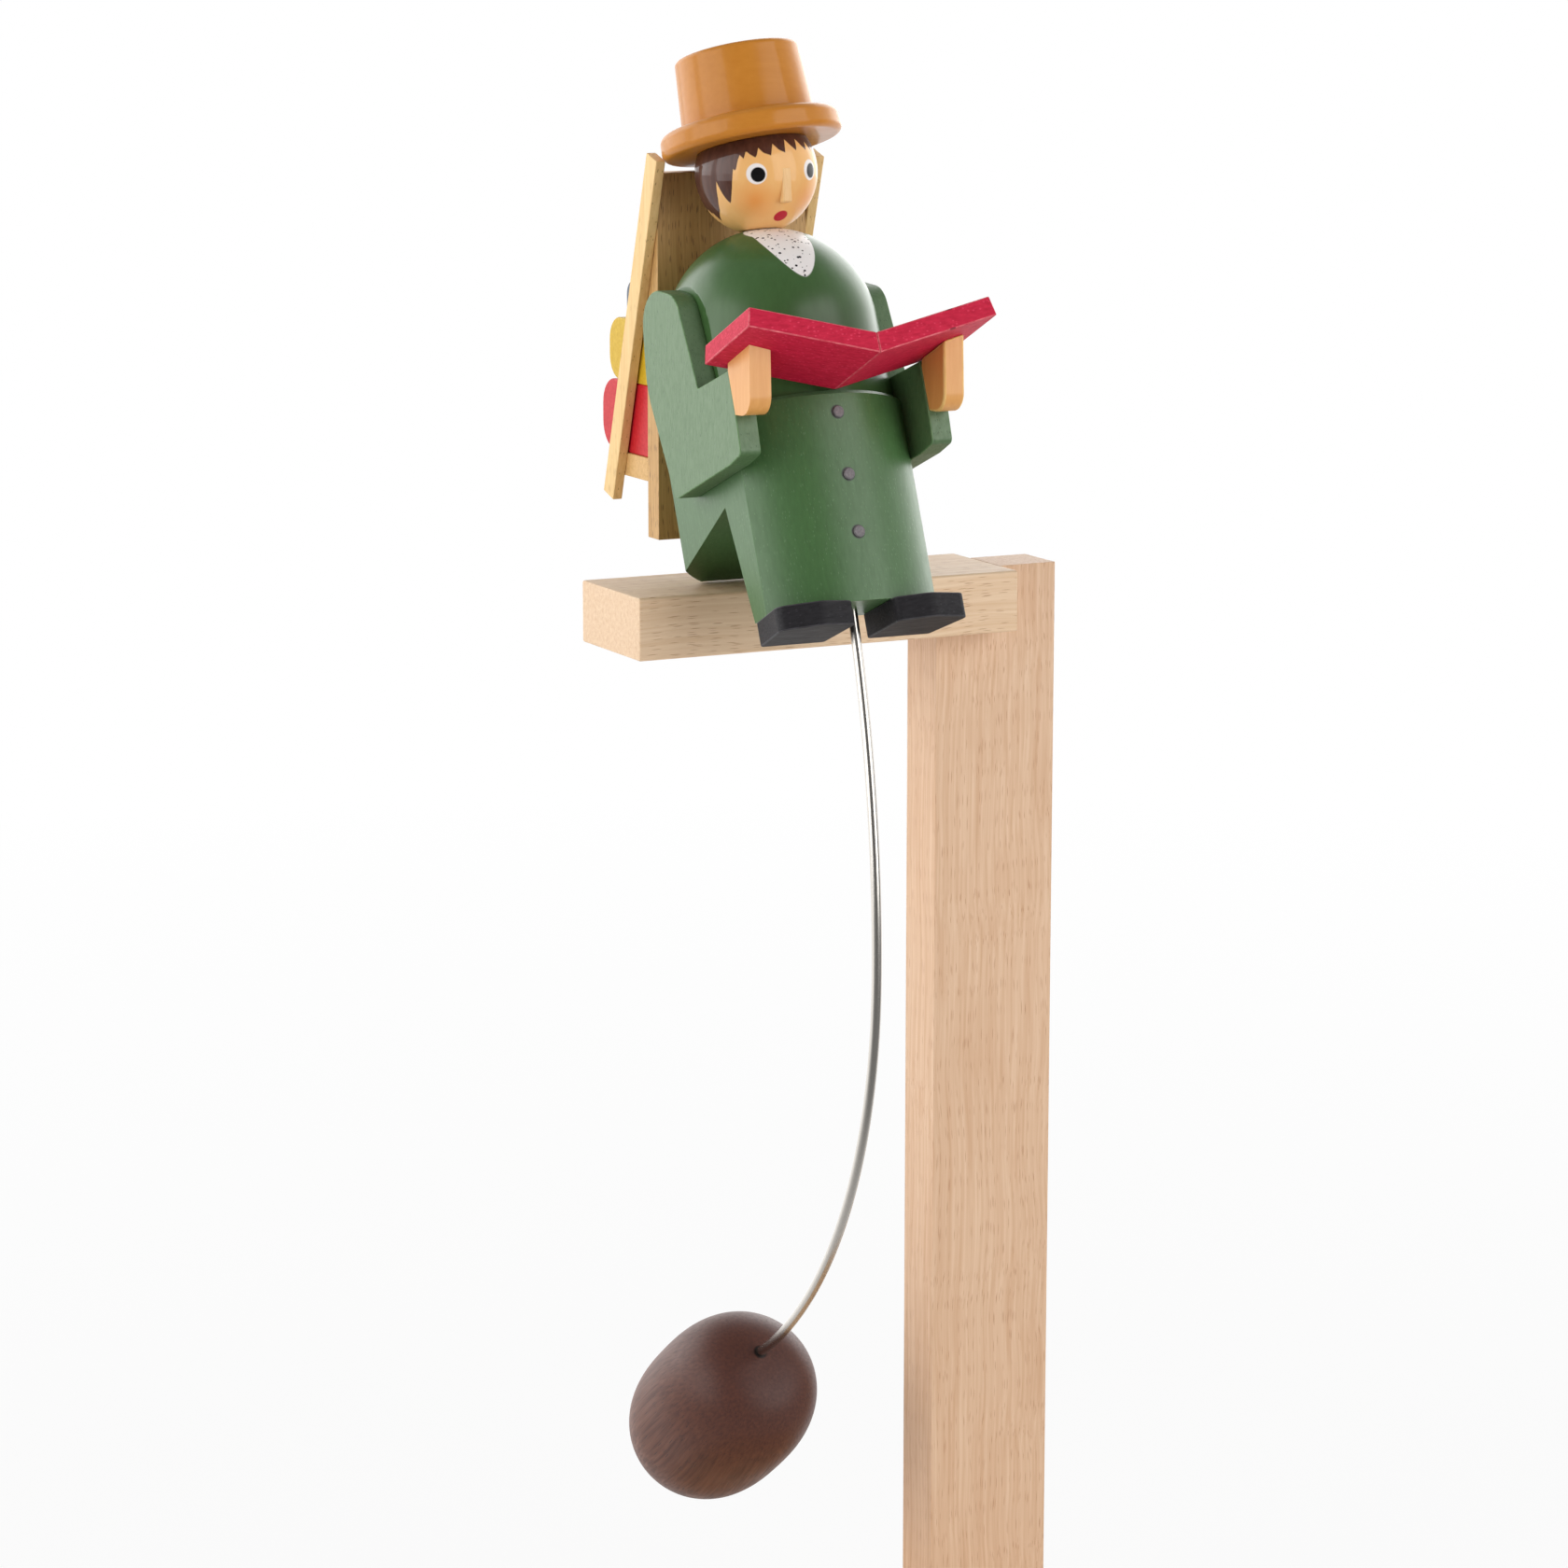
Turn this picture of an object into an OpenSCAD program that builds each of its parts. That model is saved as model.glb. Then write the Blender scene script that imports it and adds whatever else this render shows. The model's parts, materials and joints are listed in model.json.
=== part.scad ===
// Wooden balancing toy: a seated pedlar with a carrying frame on the back, reading a book.
// The figure rocks on one straight edge of its coat at the front of a small wooden seat,
// and a curved wire with a heavy ball keeps its weight below that edge.
// +Z is up and -Y is where it looks. The origin is the middle of the stand's underside.

/* [Stand] */
// Length of the foot board, along the seat
foot_length = 125; // [115:1:160]
// Width of the foot board, front to back
foot_width = 110; // [90:1:150]
// Thickness of the foot board
foot_thickness = 15; // [12:1:22]
// Height of the seat's top face above the table
seat_height = 290; // [275:1:340]
// Width of the post, along the seat
post_width = 32; // [28:1:40]
// Thickness of the planed stock that the seat and the post are sawn from
stock_thickness = 14.5; // [12:0.5:18]
// Length of the seat beam
beam_length = 98; // [90:1:110]
// Width of the seat beam, front to back
beam_width = 32; // [30:0.5:40]
// Length of the lap where the beam lies in the notch of the post
lap_length = 17; // [14:0.5:20]
// Distance of the beam's free end from the middle of the foot
beam_reach = 57.5; // [54:0.5:60]

/* [Coat and torso] */
// Distance of the figure's middle from the middle of the foot, to the left
figure_left = 19; // [15:0.5:22]
// Radius of the turned coat
coat_radius = 28.4; // [27.5:0.1:29]
// Backward lean of the coat's turning axis, in degrees
coat_lean = 22; // [20:0.5:24]
// Distance of the coat's axis in front of the rocking edge
coat_axis_forward = 23.8; // [23.2:0.1:24.3]
// Length of the coat above the rocking edge, along its axis
coat_above = 30.2; // [29:0.2:32]
// Length of the coat below the rocking edge, along its axis
coat_below = 18.5; // [17.5:0.1:19.5]
// Width of the figure between the flats sawn on its sides
body_width = 42.8; // [41:0.1:44]
// Distance of the flat sawn on the figure's back behind the rocking edge
back_flat = 15.1; // [14.4:0.1:15.8]
// Steepness of the cut behind the legs, from upright, in degrees
leg_cut = 32.5; // [30:0.5:34]
// Rise of the sole behind the rocking edge, in degrees
sole_rise = 20; // [19:0.5:24]
// Backward lean of the torso's turning axis, in degrees
torso_lean = 10.5; // [9:0.5:12]
// Distance that the torso sits behind the coat's axis at the waist
torso_back = 1.4; // [0.6:0.1:1.8]
// Radius of the rounded shoulders
shoulder_radius = 24.45; // [24:0.05:25]
// Height of the shoulder sphere's centre above the waist
shoulder_height = 20.8; // [20:0.1:22]
// Flare of the torso below the shoulders, in degrees
torso_flare = 8; // [7:0.5:9]

/* [Head and hat] */
// Radius of the head
head_radius = 14.1; // [13.6:0.05:14.2]
// Height of the head's centre above the waist
head_height = 58.2; // [57.5:0.1:58.3]
// Distance of the head's centre from the figure's middle, to the figure's right
head_aside = 0.8; // [0:0.1:1.2]
// Distance of the head's centre in front of the torso's axis
head_ahead = 0.3; // [0.3:0.1:1]
// Turn of the face to the figure's left, in degrees
head_turn = 3.5; // [0:0.5:8]
// Distance of the neck's joint below the head's centre
neck_drop = 13.3; // [13:0.05:13.4]
// Backward lean of the hat, in degrees
hat_lean = 15.6; // [14:0.2:17]
// Sideways tilt of the hat, down on the figure's right, in degrees
hat_tilt = 3.9; // [0:0.1:6]
// Distance of the hat's underside above the head's centre
hat_rise = 6; // [5:0.1:8]
// Radius of the brim
brim_radius = 20.95; // [19:0.05:22]
// Thickness of the brim at its edge
brim_thickness = 5.7; // [4.5:0.1:7]
// Radius of the crown at the brim
crown_radius = 15.3; // [13.5:0.1:15.5]
// Height of the hat
hat_height = 22.1; // [20:0.1:27]
// Width of the nose
nose_width = 2.2; // [1.8:0.1:3]

/* [Arms and book] */
// Thickness of the arms and hands
arm_thickness = 5.2; // [4.5:0.1:6]
// Width of one board of the book
board_width = 30.5; // [29:0.5:34]
// Depth of the book, front to back
board_depth = 24.6; // [23:0.2:24.8]
// Thickness of a board of the book
board_thickness = 4.6; // [4.2:0.1:4.9]
// Slope of the book down towards the reader, in degrees
book_slope = 25; // [24:0.5:27]
// Rise of each board from the spine, in degrees
book_rise = 13.5; // [12.5:0.5:15]

/* [Shoes and buttons] */
// Thickness of the shoes
shoe_thickness = 5.6; // [4.5:0.1:7]
// Gap between the shoes, at the heels
shoe_gap = 10.6; // [8:0.2:12]
// Diameter of the button pegs
button_diameter = 2.6; // [2:0.1:3.2]
// Depth of the button holes
button_depth = 6; // [4:0.5:6.5]
// Height that the buttons stand proud
button_proud = 0.6; // [0.3:0.1:1]

/* [Pendulum] */
// Diameter of the wire
wire_diameter = 2.3; // [2:0.1:2.6]
// Forward slant of the wire where it leaves the coat, from upright, in degrees
wire_slant = 18; // [16:0.5:20]
// Depth of the wire's hole in the coat
wire_in_coat = 14; // [10:0.5:16]
// Bend radius of the wire's upper stretch
upper_bend = 257; // [250:1:275]
// Angle that the upper stretch turns through, in degrees
upper_turn = 18.85; // [18:0.05:19.5]
// Bend radius of the wire's lower stretch
lower_bend = 124; // [118:0.5:132]
// Angle that the lower stretch turns through, in degrees
lower_turn = 57.9; // [56:0.1:60]
// Depth of the wire's hole in the ball
wire_in_ball = 12; // [8:0.5:14]
// Largest radius of the turned ball
ball_radius = 20; // [19:0.1:21.5]
// Length of the ball along its turning axis
ball_length = 58.5; // [56:0.5:64]
// Bluntness of the ball's ends: 2 is an ellipse
ball_bluntness = 2.8; // [2:0.1:3.2]
// Angle between the wire's end and the ball's turning axis, in degrees
ball_droop = 5.25; // [2:0.25:8]
// Distance of the wire's hole above the ball's pole
ball_hole_off = 3.5; // [1.5:0.1:4.5]
// Diameter of the metal weight inside the ball
core_diameter = 10; // [8:0.5:12]
// Length of the metal weight inside the ball
core_length = 11; // [8:0.5:16]
// Depth of the metal weight below the pole beside the wire
core_depth = 14.5; // [14.5:0.5:18]

/* [Carrying frame] */
// Half the width of the back board
carrier_half = 19.2; // [18.5:0.1:19.6]
// Thickness of the back board
carrier_thickness = 6; // [5:0.1:7]
// Height of the back board's lower end above the rocking edge
carrier_low = 8; // [7:0.5:12]
// Distance of the back board's upper end below the middle of the hat's underside
board_below_hat = 6; // [5.8:0.1:9]
// Thickness of the side rails
rail_thickness = 2.4; // [2:0.1:3]
// Width of the side rails
rail_width = 5.7; // [5:0.1:7]
// Slant of the side rails from upright, in degrees
rail_slant = 17.5; // [16:0.5:19]
// Height of the shelf's underside above the rocking edge
shelf_low = 21.1; // [20:0.1:23]
// Thickness of the shelf
shelf_thickness = 5.5; // [4:0.1:6]
// Depth of the shelf, behind the back board
shelf_depth = 16.8; // [14:0.1:18]

/* [Fits and pegs] */
// Gap between the rocking edge and the seat
rocking_gap = 0.2; // [0.15:0.01:0.3]
// Radial clearance of a glued peg or wire in its hole
peg_clearance = 0.05; // [0.02:0.01:0.08]
// Diameter of the dowels at the waist and in the stand
dowel_diameter = 8; // [6:0.5:9]
// Depth of a dowel in each of its two pieces
dowel_depth = 10; // [8:0.5:12]
// Diameter of the pegs at the neck, in the hat and behind the back board
peg_diameter = 4; // [3:0.5:5]
// Depth of a peg in each of its two pieces
peg_depth = 6; // [5:0.5:7]
// Diameter of the shank of the screws under the foot
screw_diameter = 4; // [3.5:0.5:5]
// Length of the screws under the foot
screw_length = 40; // [30:1:50]

/* [Hidden] */
$fn = 96;
// Segments of the arc at a rounded corner of an outline
corner_steps = 8;
// Overshoot of a cut beyond the face that it starts from
over = 1;
// Size of the blocks that cut away everything on one side of a plane
big = 300;

// Rounded long edges of the planed stock and of the foot board
stock_edge = 0.7;
foot_edge = 4;
// Depth of the mortise in the foot that the post stands in
mortise_depth = 6;
// Distance of each foot screw from the middle of the post
screw_offset = post_width / 4;
// Head of a countersunk screw
screw_head_diameter = 2 * screw_diameter;
screw_head_height = screw_diameter * 3 / 5;

// Ends of the seat beam and of the post, along X
beam_left = -beam_reach;
beam_right = beam_left + beam_length;
post_left = beam_right - lap_length;
post_middle = post_left + post_width / 2;
beam_bottom = seat_height - stock_thickness;

// Half widths across the flats
half_body = body_width / 2;
// Apex of the notch sawn behind the legs: past the coat's axis, and above the rocking edge
notch_past_axis = 1.4;
notch_forward = coat_axis_forward + notch_past_axis;
notch_height = 20.6;
// Height on the torso's axis where the flare runs into the shoulder sphere, and its radius there
tangent_height = shoulder_height + shoulder_radius * sin(torso_flare);
tangent_radius = shoulder_radius * cos(torso_flare);
// Length of the torso below its origin, trimmed to the waist's plane
skirt = 9;
neck_height = head_height - neck_drop;
// Heights of the waist's and the head's middles above the rocking edge
waist_level = (coat_axis_forward - torso_back) * sin(coat_lean) + coat_above * cos(coat_lean);
head_level = waist_level + head_height * cos(torso_lean);
// Chamfer of the coat's rim
rim_round = 1;

// The hat sits in the figure's middle, and this far behind the middle of the flat on the head
hat_back = 0.9;
// Roundings of the brim below and above, and of the crown
brim_under_round = 1.5;
brim_upper_round = 1.9;
crown_round = 0.9;
// Rise of the brim's top towards the crown, and taper of the crown
brim_rise = 0.6;
crown_taper = 0.9;
// Height of the middle of the hat's underside above the rocking edge
hat_level = head_level + hat_rise * cos(hat_lean) - hat_back * sin(hat_lean);

// The nose: its upper and lower ends from the head's centre, and how far it stands out
nose_top = 1.9;
nose_bottom = -6;
nose_out = 0.7;
// Depth of the slot in the face that the nose is glued into
nose_in = 3.6;

// Ends of the sleeve's cuff, seen from the side: backward and upward from the rocking edge
CUFF_TOP = [-37.6, 52.9];
CUFF_LOW = [-41.4, 43.5];
// Upright outline of an arm in the same measures, then the rounding of the corner
ARM = [
    [-10.1, 20.8, 2.5],
    [5.5, 44.5, 22],
    [8.9, 68.2, 8.5],
    [-10.1, 67.2, 7],
    [-21.9, 47.4, 0.4],
    [CUFF_TOP[0], CUFF_TOP[1], 0.3],
    [CUFF_LOW[0], CUFF_LOW[1], 3],
    [-44.1, 35, 1.5],
    [-38.1, 31.8, 8],
];
// A hand starts at the cuff and runs up past the underside of the book
HAND = [
    [CUFF_TOP[0], CUFF_TOP[1], 0],
    [CUFF_TOP[0], 64, 0],
    [-48.4, 68, 0],
    [-48.4, 58.2, 0.8],
    [-49, 43.8, 4.5],
    [CUFF_LOW[0], CUFF_LOW[1], 0],
];
// How much lower than the right hand the left one is glued, along the cuff
left_hand_drop = 1.6;
// Top of the book's spine at its front end
book_front = 57.7;
book_height = 62.1;

// Outline of a shoe, seen from above: sideways from the middle and backward from the coat's axis
heel_back = -12.9;
SHOE = [
    [shoe_gap / 2, heel_back, 1],
    [shoe_gap / 2, -1.4 - coat_radius, 1.5],
    [13.6, -3.6 - coat_radius, 4],
    [half_body + 2.2, -0.4 - coat_radius, 2.5],
    [half_body, heel_back, 1],
];

// Places of the buttons along the coat's axis
BUTTONS = [24.9, 10.5, -2.8];

// Where the wire leaves the coat, in front of the coat's axis
wire_forward = 18.6;
// Distance along the ball's axis from its pole to the rim of the wire's hole
ball_hole_rise = ball_length / 2 * (1 - ball_curve(ball_hole_off / ball_radius));
// Length of the plug that closes the bore behind the metal weight
plug_length = ball_length - core_depth - core_length;
BALL_STEPS = 32;
// Rings along each bend of the wire, and sides of the wire
UPPER_STEPS = 16;
LOWER_STEPS = 30;
WIRE_SIDES = 16;

// Upper end of the back board above the rocking edge
carrier_high = hat_level - board_below_hat;
// Top of the rails' front edge: in front of the back board's face, and above its upper end
rail_top_forward = 4.8;
rail_top_above = 3;
rail_length = 84.9;
// The bundles, from the shelf upward: height and depth behind the back board
RED = [16.8, 26.5];
YELLOW = [14.8, 22.4];
GREY = [9.2, 12.4];
bundle_half = carrier_half - 0.4;
// Rounding of a bundle's back, as a share of its height
bundle_round = 0.38;
shelf_top = shelf_low + shelf_thickness;
// Heights of the pegs that hold the back board to the torso
CARRIER_PEGS = [42, 58];

// Colours of the painted and the natural woods
BEECH = [0.87, 0.72, 0.57];
GREEN = [0.25, 0.43, 0.26];
SKIN = [0.90, 0.68, 0.45];
OCHRE = [0.77, 0.48, 0.19];
RASPBERRY = [0.75, 0.14, 0.27];
CHARCOAL = [0.16, 0.15, 0.17];
WALNUT = [0.33, 0.20, 0.16];
STEEL = [0.75, 0.74, 0.72];
LIME = [0.74, 0.58, 0.36];
RED_PAINT = [0.72, 0.10, 0.14];
YELLOW_PAINT = [0.80, 0.62, 0.10];
GREY_PAINT = [0.33, 0.38, 0.45];

function unit(v) = v / norm(v);
function plane_point(p) = [p[0], p[1]];

// The arc of radius r that rounds the corner b between its neighbours a and c
function corner(a, b, c, r) =
    let (
        u = unit(a - b),
        w = unit(c - b),
        half = acos(u * w) / 2,
        centre = b + unit(u + w) * r / sin(half),
        from = b + u * r / tan(half) - centre,
        to = b + w * r / tan(half) - centre,
        start = atan2(from[1], from[0]),
        turn = (atan2(to[1], to[0]) - start + 540) % 360 - 180
    )
    [for (i = [0:corner_steps]) centre + r * [
        cos(start + turn * i / corner_steps),
        sin(start + turn * i / corner_steps)
    ]];

// An outline of [across, up, rounding] points with every corner rounded
function rounded(points) =
    let (n = len(points))
    [for (i = [0:n - 1])
        let (
            a = plane_point(points[(i + n - 1) % n]),
            b = plane_point(points[i]),
            c = plane_point(points[(i + 1) % n])
        )
        each (points[i][2] > 0 ? corner(a, b, c, points[i][2]) : [b])];

// Frames. The rocking edge: Y backward, Z up, X along the edge
module at_edge() {
    translate([-figure_left, 0, seat_height + rocking_gap]) children();
}

// The coat's turning axis is Z, level with the rocking edge at Z = 0
module coat_frame() {
    at_edge() rotate([-coat_lean, 0, 0]) translate([0, -coat_axis_forward, 0]) children();
}

// The torso's turning axis is Z, with the waist at Z = 0
module torso_frame() {
    coat_frame()
        translate([0, torso_back, coat_above])
            rotate([coat_lean - torso_lean, 0, 0])
                children();
}

// Upright at the head's centre
module head_frame() {
    torso_frame()
        translate([0, 0, head_height])
            rotate([torso_lean, 0, 0])
                translate([-head_aside, -head_ahead, 0])
                    children();
}

module hat_frame() {
    head_frame() rotate([-hat_lean, -hat_tilt, 0]) children();
}

// The underside of one board of the book is Z = -board_thickness, the spine is Y
module book_frame(side) {
    at_edge()
        translate([0, -book_front, book_height])
            rotate([-book_slope, 0, 0])
                on_side(side)
                    rotate([0, -book_rise, 0])
                        children();
}

// The wire leaves the coat along Z and bends towards Y
module wire_frame() {
    coat_frame()
        translate([0, -wire_forward, -coat_below])
            rotate([coat_lean - wire_slant, 0, 0])
                rotate([0, 180, 0])
                    children();
}

// From the start of a bend to its end
module past_bend(radius, turn) {
    translate([0, radius, 0]) rotate([-turn, 0, 0]) translate([0, -radius, 0]) children();
}

module wire_end_frame() {
    wire_frame()
        past_bend(upper_bend, upper_turn)
            past_bend(lower_bend, lower_turn)
                children();
}

// The ball's turning axis is Z, with the pole beside the wire's hole at Z = 0
module ball_frame() {
    wire_end_frame()
        rotate([ball_droop, 0, 0])
            translate([0, -ball_hole_off, -ball_hole_rise])
                children();
}

// Side 1 is the figure's left, side -1 its right
module on_side(side) {
    mirror([side < 0 ? 1 : 0, 0, 0]) children();
}

// A plate on one side of the figure, from a distance off the middle outward
module side_plate(side, off, thickness) {
    at_edge()
        on_side(side)
            translate([off, 0, 0])
                rotate([90, 0, 90])
                    linear_extrude(thickness)
                        children();
}

// A hole for a glued peg of the given diameter and depth, cut from Z = 0 upward
module peg_hole(diameter, depth) {
    translate([0, 0, -over]) cylinder(h = depth + over, d = diameter + 2 * peg_clearance);
}

// A box with its four long edges along X rounded
module planed_bar(length, width, height, edge) {
    translate([0, 0, height / 2])
        rotate([90, 0, 90])
            linear_extrude(length)
                polygon(rounded([
                    [-width / 2, -height / 2, edge],
                    [width / 2, -height / 2, edge],
                    [width / 2, height / 2, edge],
                    [-width / 2, height / 2, edge],
                ]));
}

// Everything within the flats on the figure's sides and back
module within_flats() {
    at_edge()
        translate([-half_body, back_flat - big, -big / 2])
            cube([body_width, big, big]);
}

module stand_foot() {
    color(BEECH) difference() {
        linear_extrude(foot_thickness)
            polygon(rounded([
                [-foot_length / 2, -foot_width / 2, foot_edge],
                [foot_length / 2, -foot_width / 2, foot_edge],
                [foot_length / 2, foot_width / 2, foot_edge],
                [-foot_length / 2, foot_width / 2, foot_edge],
            ]));
        translate([post_left, -stock_thickness / 2, foot_thickness - mortise_depth])
            cube([post_width, stock_thickness, foot_thickness]);
        at_foot_screws() {
            translate([0, 0, -over])
                cylinder(h = foot_thickness, d = screw_diameter + 2 * peg_clearance);
            screw_head();
        }
    }
}

// Places of the two screws, at the foot's underside
module at_foot_screws() {
    for (side = [-1, 1])
        translate([post_middle + side * screw_offset, 0, 0]) children();
}

module screw_head() {
    cylinder(h = screw_head_height, d1 = screw_head_diameter, d2 = screw_diameter);
}

module foot_screws() {
    color(STEEL) at_foot_screws() {
        screw_head();
        cylinder(h = screw_length, d = screw_diameter);
    }
}

module stand_post() {
    color(BEECH) difference() {
        translate([post_left, -stock_thickness / 2, foot_thickness - mortise_depth])
            cube([post_width, stock_thickness, seat_height - foot_thickness + mortise_depth]);
        translate([post_left - over, -stock_thickness, beam_bottom])
            cube([lap_length + over, 2 * stock_thickness, big]);
        at_beam_dowel() rotate([180, 0, 0]) peg_hole(dowel_diameter, dowel_depth);
        at_foot_screws() peg_hole(screw_diameter, screw_length);
    }
}

module seat_beam() {
    color(BEECH) difference() {
        translate([beam_left, 0, beam_bottom])
            planed_bar(beam_length, beam_width, stock_thickness, stock_edge);
        at_beam_dowel() peg_hole(dowel_diameter, dowel_depth);
    }
}

// Middle of the shoulder that the beam rests on
module at_beam_dowel() {
    translate([beam_right - lap_length / 2, 0, beam_bottom]) children();
}

module beam_dowel() {
    color(LIME) at_beam_dowel()
        cylinder(h = 2 * dowel_depth, d = dowel_diameter, center = true);
}

// The notch behind the legs and the rising sole, cut across the whole width
module seat_cut() {
    side_plate(1, -big / 2, big)
        polygon([
            [-notch_forward, notch_height],
            [0, 0],
            [big, big * tan(sole_rise)],
            [big, -big],
            [-notch_forward - big * tan(leg_cut), notch_height - big],
        ]);
}

// Places of the buttons on the coat's front line, Z pointing into the wood
module at_buttons() {
    coat_frame()
        for (place = BUTTONS)
            translate([0, -coat_radius, place]) rotate([-90, 0, 0]) children();
}

module coat() {
    color(GREEN) difference() {
        intersection() {
            coat_frame() {
                translate([0, 0, -coat_below])
                    cylinder(h = coat_below + coat_above - rim_round, r = coat_radius);
                translate([0, 0, coat_above - rim_round])
                    cylinder(h = rim_round, r1 = coat_radius, r2 = coat_radius - rim_round);
            }
            within_flats();
        }
        seat_cut();
        wire_frame() rotate([180, 0, 0]) peg_hole(wire_diameter, wire_in_coat);
        at_waist() rotate([180, 0, 0]) peg_hole(dowel_diameter, dowel_depth);
        at_buttons() peg_hole(button_diameter, button_depth);
    }
}

module at_waist() {
    coat_frame() translate([0, 0, coat_above]) children();
}

module waist_dowel() {
    color(LIME) at_waist() cylinder(h = 2 * dowel_depth, d = dowel_diameter, center = true);
}

module torso() {
    color(GREEN) difference() {
        intersection() {
            torso_frame() {
                translate([0, 0, -skirt])
                    cylinder(
                        h = tangent_height + skirt,
                        r1 = tangent_radius + (tangent_height + skirt) * tan(torso_flare),
                        r2 = tangent_radius
                    );
                intersection() {
                    translate([0, 0, shoulder_height]) sphere(r = shoulder_radius);
                    translate([-big / 2, -big / 2, tangent_height])
                        cube([big, big, neck_height - tangent_height]);
                }
            }
            within_flats();
            at_waist() translate([-big / 2, -big / 2, 0]) cube(big);
        }
        at_waist() peg_hole(dowel_diameter, dowel_depth);
        at_neck() rotate([180, 0, 0]) peg_hole(peg_diameter, peg_depth);
        at_carrier_pegs() peg_hole(peg_diameter, peg_depth);
    }
}

module at_neck() {
    torso_frame() translate([0, 0, neck_height]) children();
}

module neck_peg() {
    color(LIME) at_neck() cylinder(h = 2 * peg_depth, d = peg_diameter, center = true);
}

// Side outline of the nose, let into the face: backward and upward from the head's centre
function nose_outline() = [
    [-head_radius + 0.05, nose_top, 0],
    [-head_radius - nose_out, nose_bottom + 0.1, 0.5],
    [-head_radius + 1.2, nose_bottom - 0.2, 0.4],
    [-head_radius + nose_in, nose_bottom + 1, 0],
    [-head_radius + nose_in, nose_top, 0],
];

module nose_blank() {
    head_frame()
        rotate([0, 0, head_turn])
            translate([-nose_width / 2, 0, 0])
                rotate([90, 0, 90])
                    linear_extrude(nose_width)
                        polygon(rounded(nose_outline()));
}

module nose() {
    color(SKIN) nose_blank();
}

module head() {
    color(SKIN) difference() {
        head_frame() sphere(r = head_radius);
        at_neck() translate([-big / 2, -big / 2, -big]) cube(big);
        at_hat() translate([-big / 2, -big / 2, 0]) cube(big);
        at_neck() peg_hole(peg_diameter, peg_depth);
        at_hat_peg() rotate([180, 0, 0]) peg_hole(peg_diameter, peg_depth);
        nose_blank();
    }
}

// Middle of the hat's underside
module at_hat() {
    at_hat_peg() translate([head_aside, hat_back, 0]) children();
}

// Middle of the flat on the head
module at_hat_peg() {
    hat_frame() translate([0, 0, hat_rise]) children();
}

// Half outline of the hat: outward and upward from the middle of its underside
function hat_outline() = [
    [0, 0, 0],
    [brim_radius, 0, brim_under_round],
    [brim_radius - 0.3, brim_thickness, brim_upper_round],
    [crown_radius, brim_thickness + brim_rise, 0.5],
    [crown_radius - crown_taper, hat_height, crown_round],
    [0, hat_height, 0],
];

module hat() {
    color(OCHRE) difference() {
        at_hat() rotate_extrude() polygon(rounded(hat_outline()));
        at_hat_peg() peg_hole(peg_diameter, peg_depth);
    }
}

module hat_peg() {
    color(LIME) at_hat_peg() cylinder(h = 2 * peg_depth, d = peg_diameter, center = true);
}

module arm(side) {
    color(GREEN) side_plate(side, half_body, arm_thickness) polygon(rounded(ARM));
}

// Way down along the cuff of the sleeve
function down_cuff(run) = unit(CUFF_LOW - CUFF_TOP) * run;

module hand(side) {
    color(SKIN) difference() {
        side_plate(side, half_body, arm_thickness)
            translate(down_cuff(side > 0 ? left_hand_drop : 0))
                polygon(rounded(HAND));
        book_frame(side)
            translate([-big / 2, -big / 2, -board_thickness])
                cube(big);
    }
}

// One board of the book, mitred at the spine
module book_board(side) {
    color(RASPBERRY) intersection() {
        book_frame(side)
            translate([-board_thickness, 0, -board_thickness])
                cube([board_thickness + board_width, board_depth, board_thickness]);
        at_edge()
            on_side(side)
                translate([0, -big / 2, -big / 2])
                    cube(big);
    }
}

module buttons() {
    color(CHARCOAL) at_buttons()
        translate([0, 0, -button_proud])
            cylinder(h = button_proud + button_depth, d = button_diameter);
}

module shoe(side) {
    color(CHARCOAL) coat_frame()
        on_side(side)
            translate([0, 0, -coat_below - shoe_thickness])
                linear_extrude(shoe_thickness)
                    polygon(rounded(SHOE));
}

// Stations of the wire in its own frame: [towards Y, along Z, heading from Z towards Y]
function bend_station(start, radius, turn) = [
    start[0] + radius * (cos(start[2]) - cos(start[2] + turn)),
    start[1] + radius * (sin(start[2] + turn) - sin(start[2])),
    start[2] + turn
];

function straight_station(start, run) = [
    start[0] + run * sin(start[2]),
    start[1] + run * cos(start[2]),
    start[2]
];

upper_end = bend_station([0, 0, 0], upper_bend, upper_turn);
lower_end = bend_station(upper_end, lower_bend, lower_turn);
WIRE = [
    straight_station([0, 0, 0], -wire_in_coat),
    for (i = [0:UPPER_STEPS]) bend_station([0, 0, 0], upper_bend, upper_turn * i / UPPER_STEPS),
    for (i = [1:LOWER_STEPS]) bend_station(upper_end, lower_bend, lower_turn * i / LOWER_STEPS),
    straight_station(lower_end, wire_in_ball),
];

// The ring of points round one station
function wire_ring(station) = [for (i = [0:WIRE_SIDES - 1])
    let (
        turn = 360 * i / WIRE_SIDES,
        off = wire_diameter / 2 * cos(turn)
    )
    [
        wire_diameter / 2 * sin(turn),
        station[0] + off * cos(station[2]),
        station[1] - off * sin(station[2])
    ]];

// A rod of round section swept along the stations
module bent_wire(stations) {
    last = len(stations) - 1;
    polyhedron(
        points = [for (station = stations) each wire_ring(station)],
        faces = [
            [for (i = [WIRE_SIDES - 1:-1:0]) i],
            for (ring = [0:last - 1])
                for (i = [0:WIRE_SIDES - 1])
                    let (
                        next = (i + 1) % WIRE_SIDES,
                        low = ring * WIRE_SIDES,
                        high = low + WIRE_SIDES
                    )
                    each [[low + i, high + next, high + i], [low + i, low + next, high + next]],
            [for (i = [0:WIRE_SIDES - 1]) last * WIRE_SIDES + i],
        ]
    );
}

module pendulum_wire() {
    color(STEEL) wire_frame() bent_wire(WIRE);
}

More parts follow.
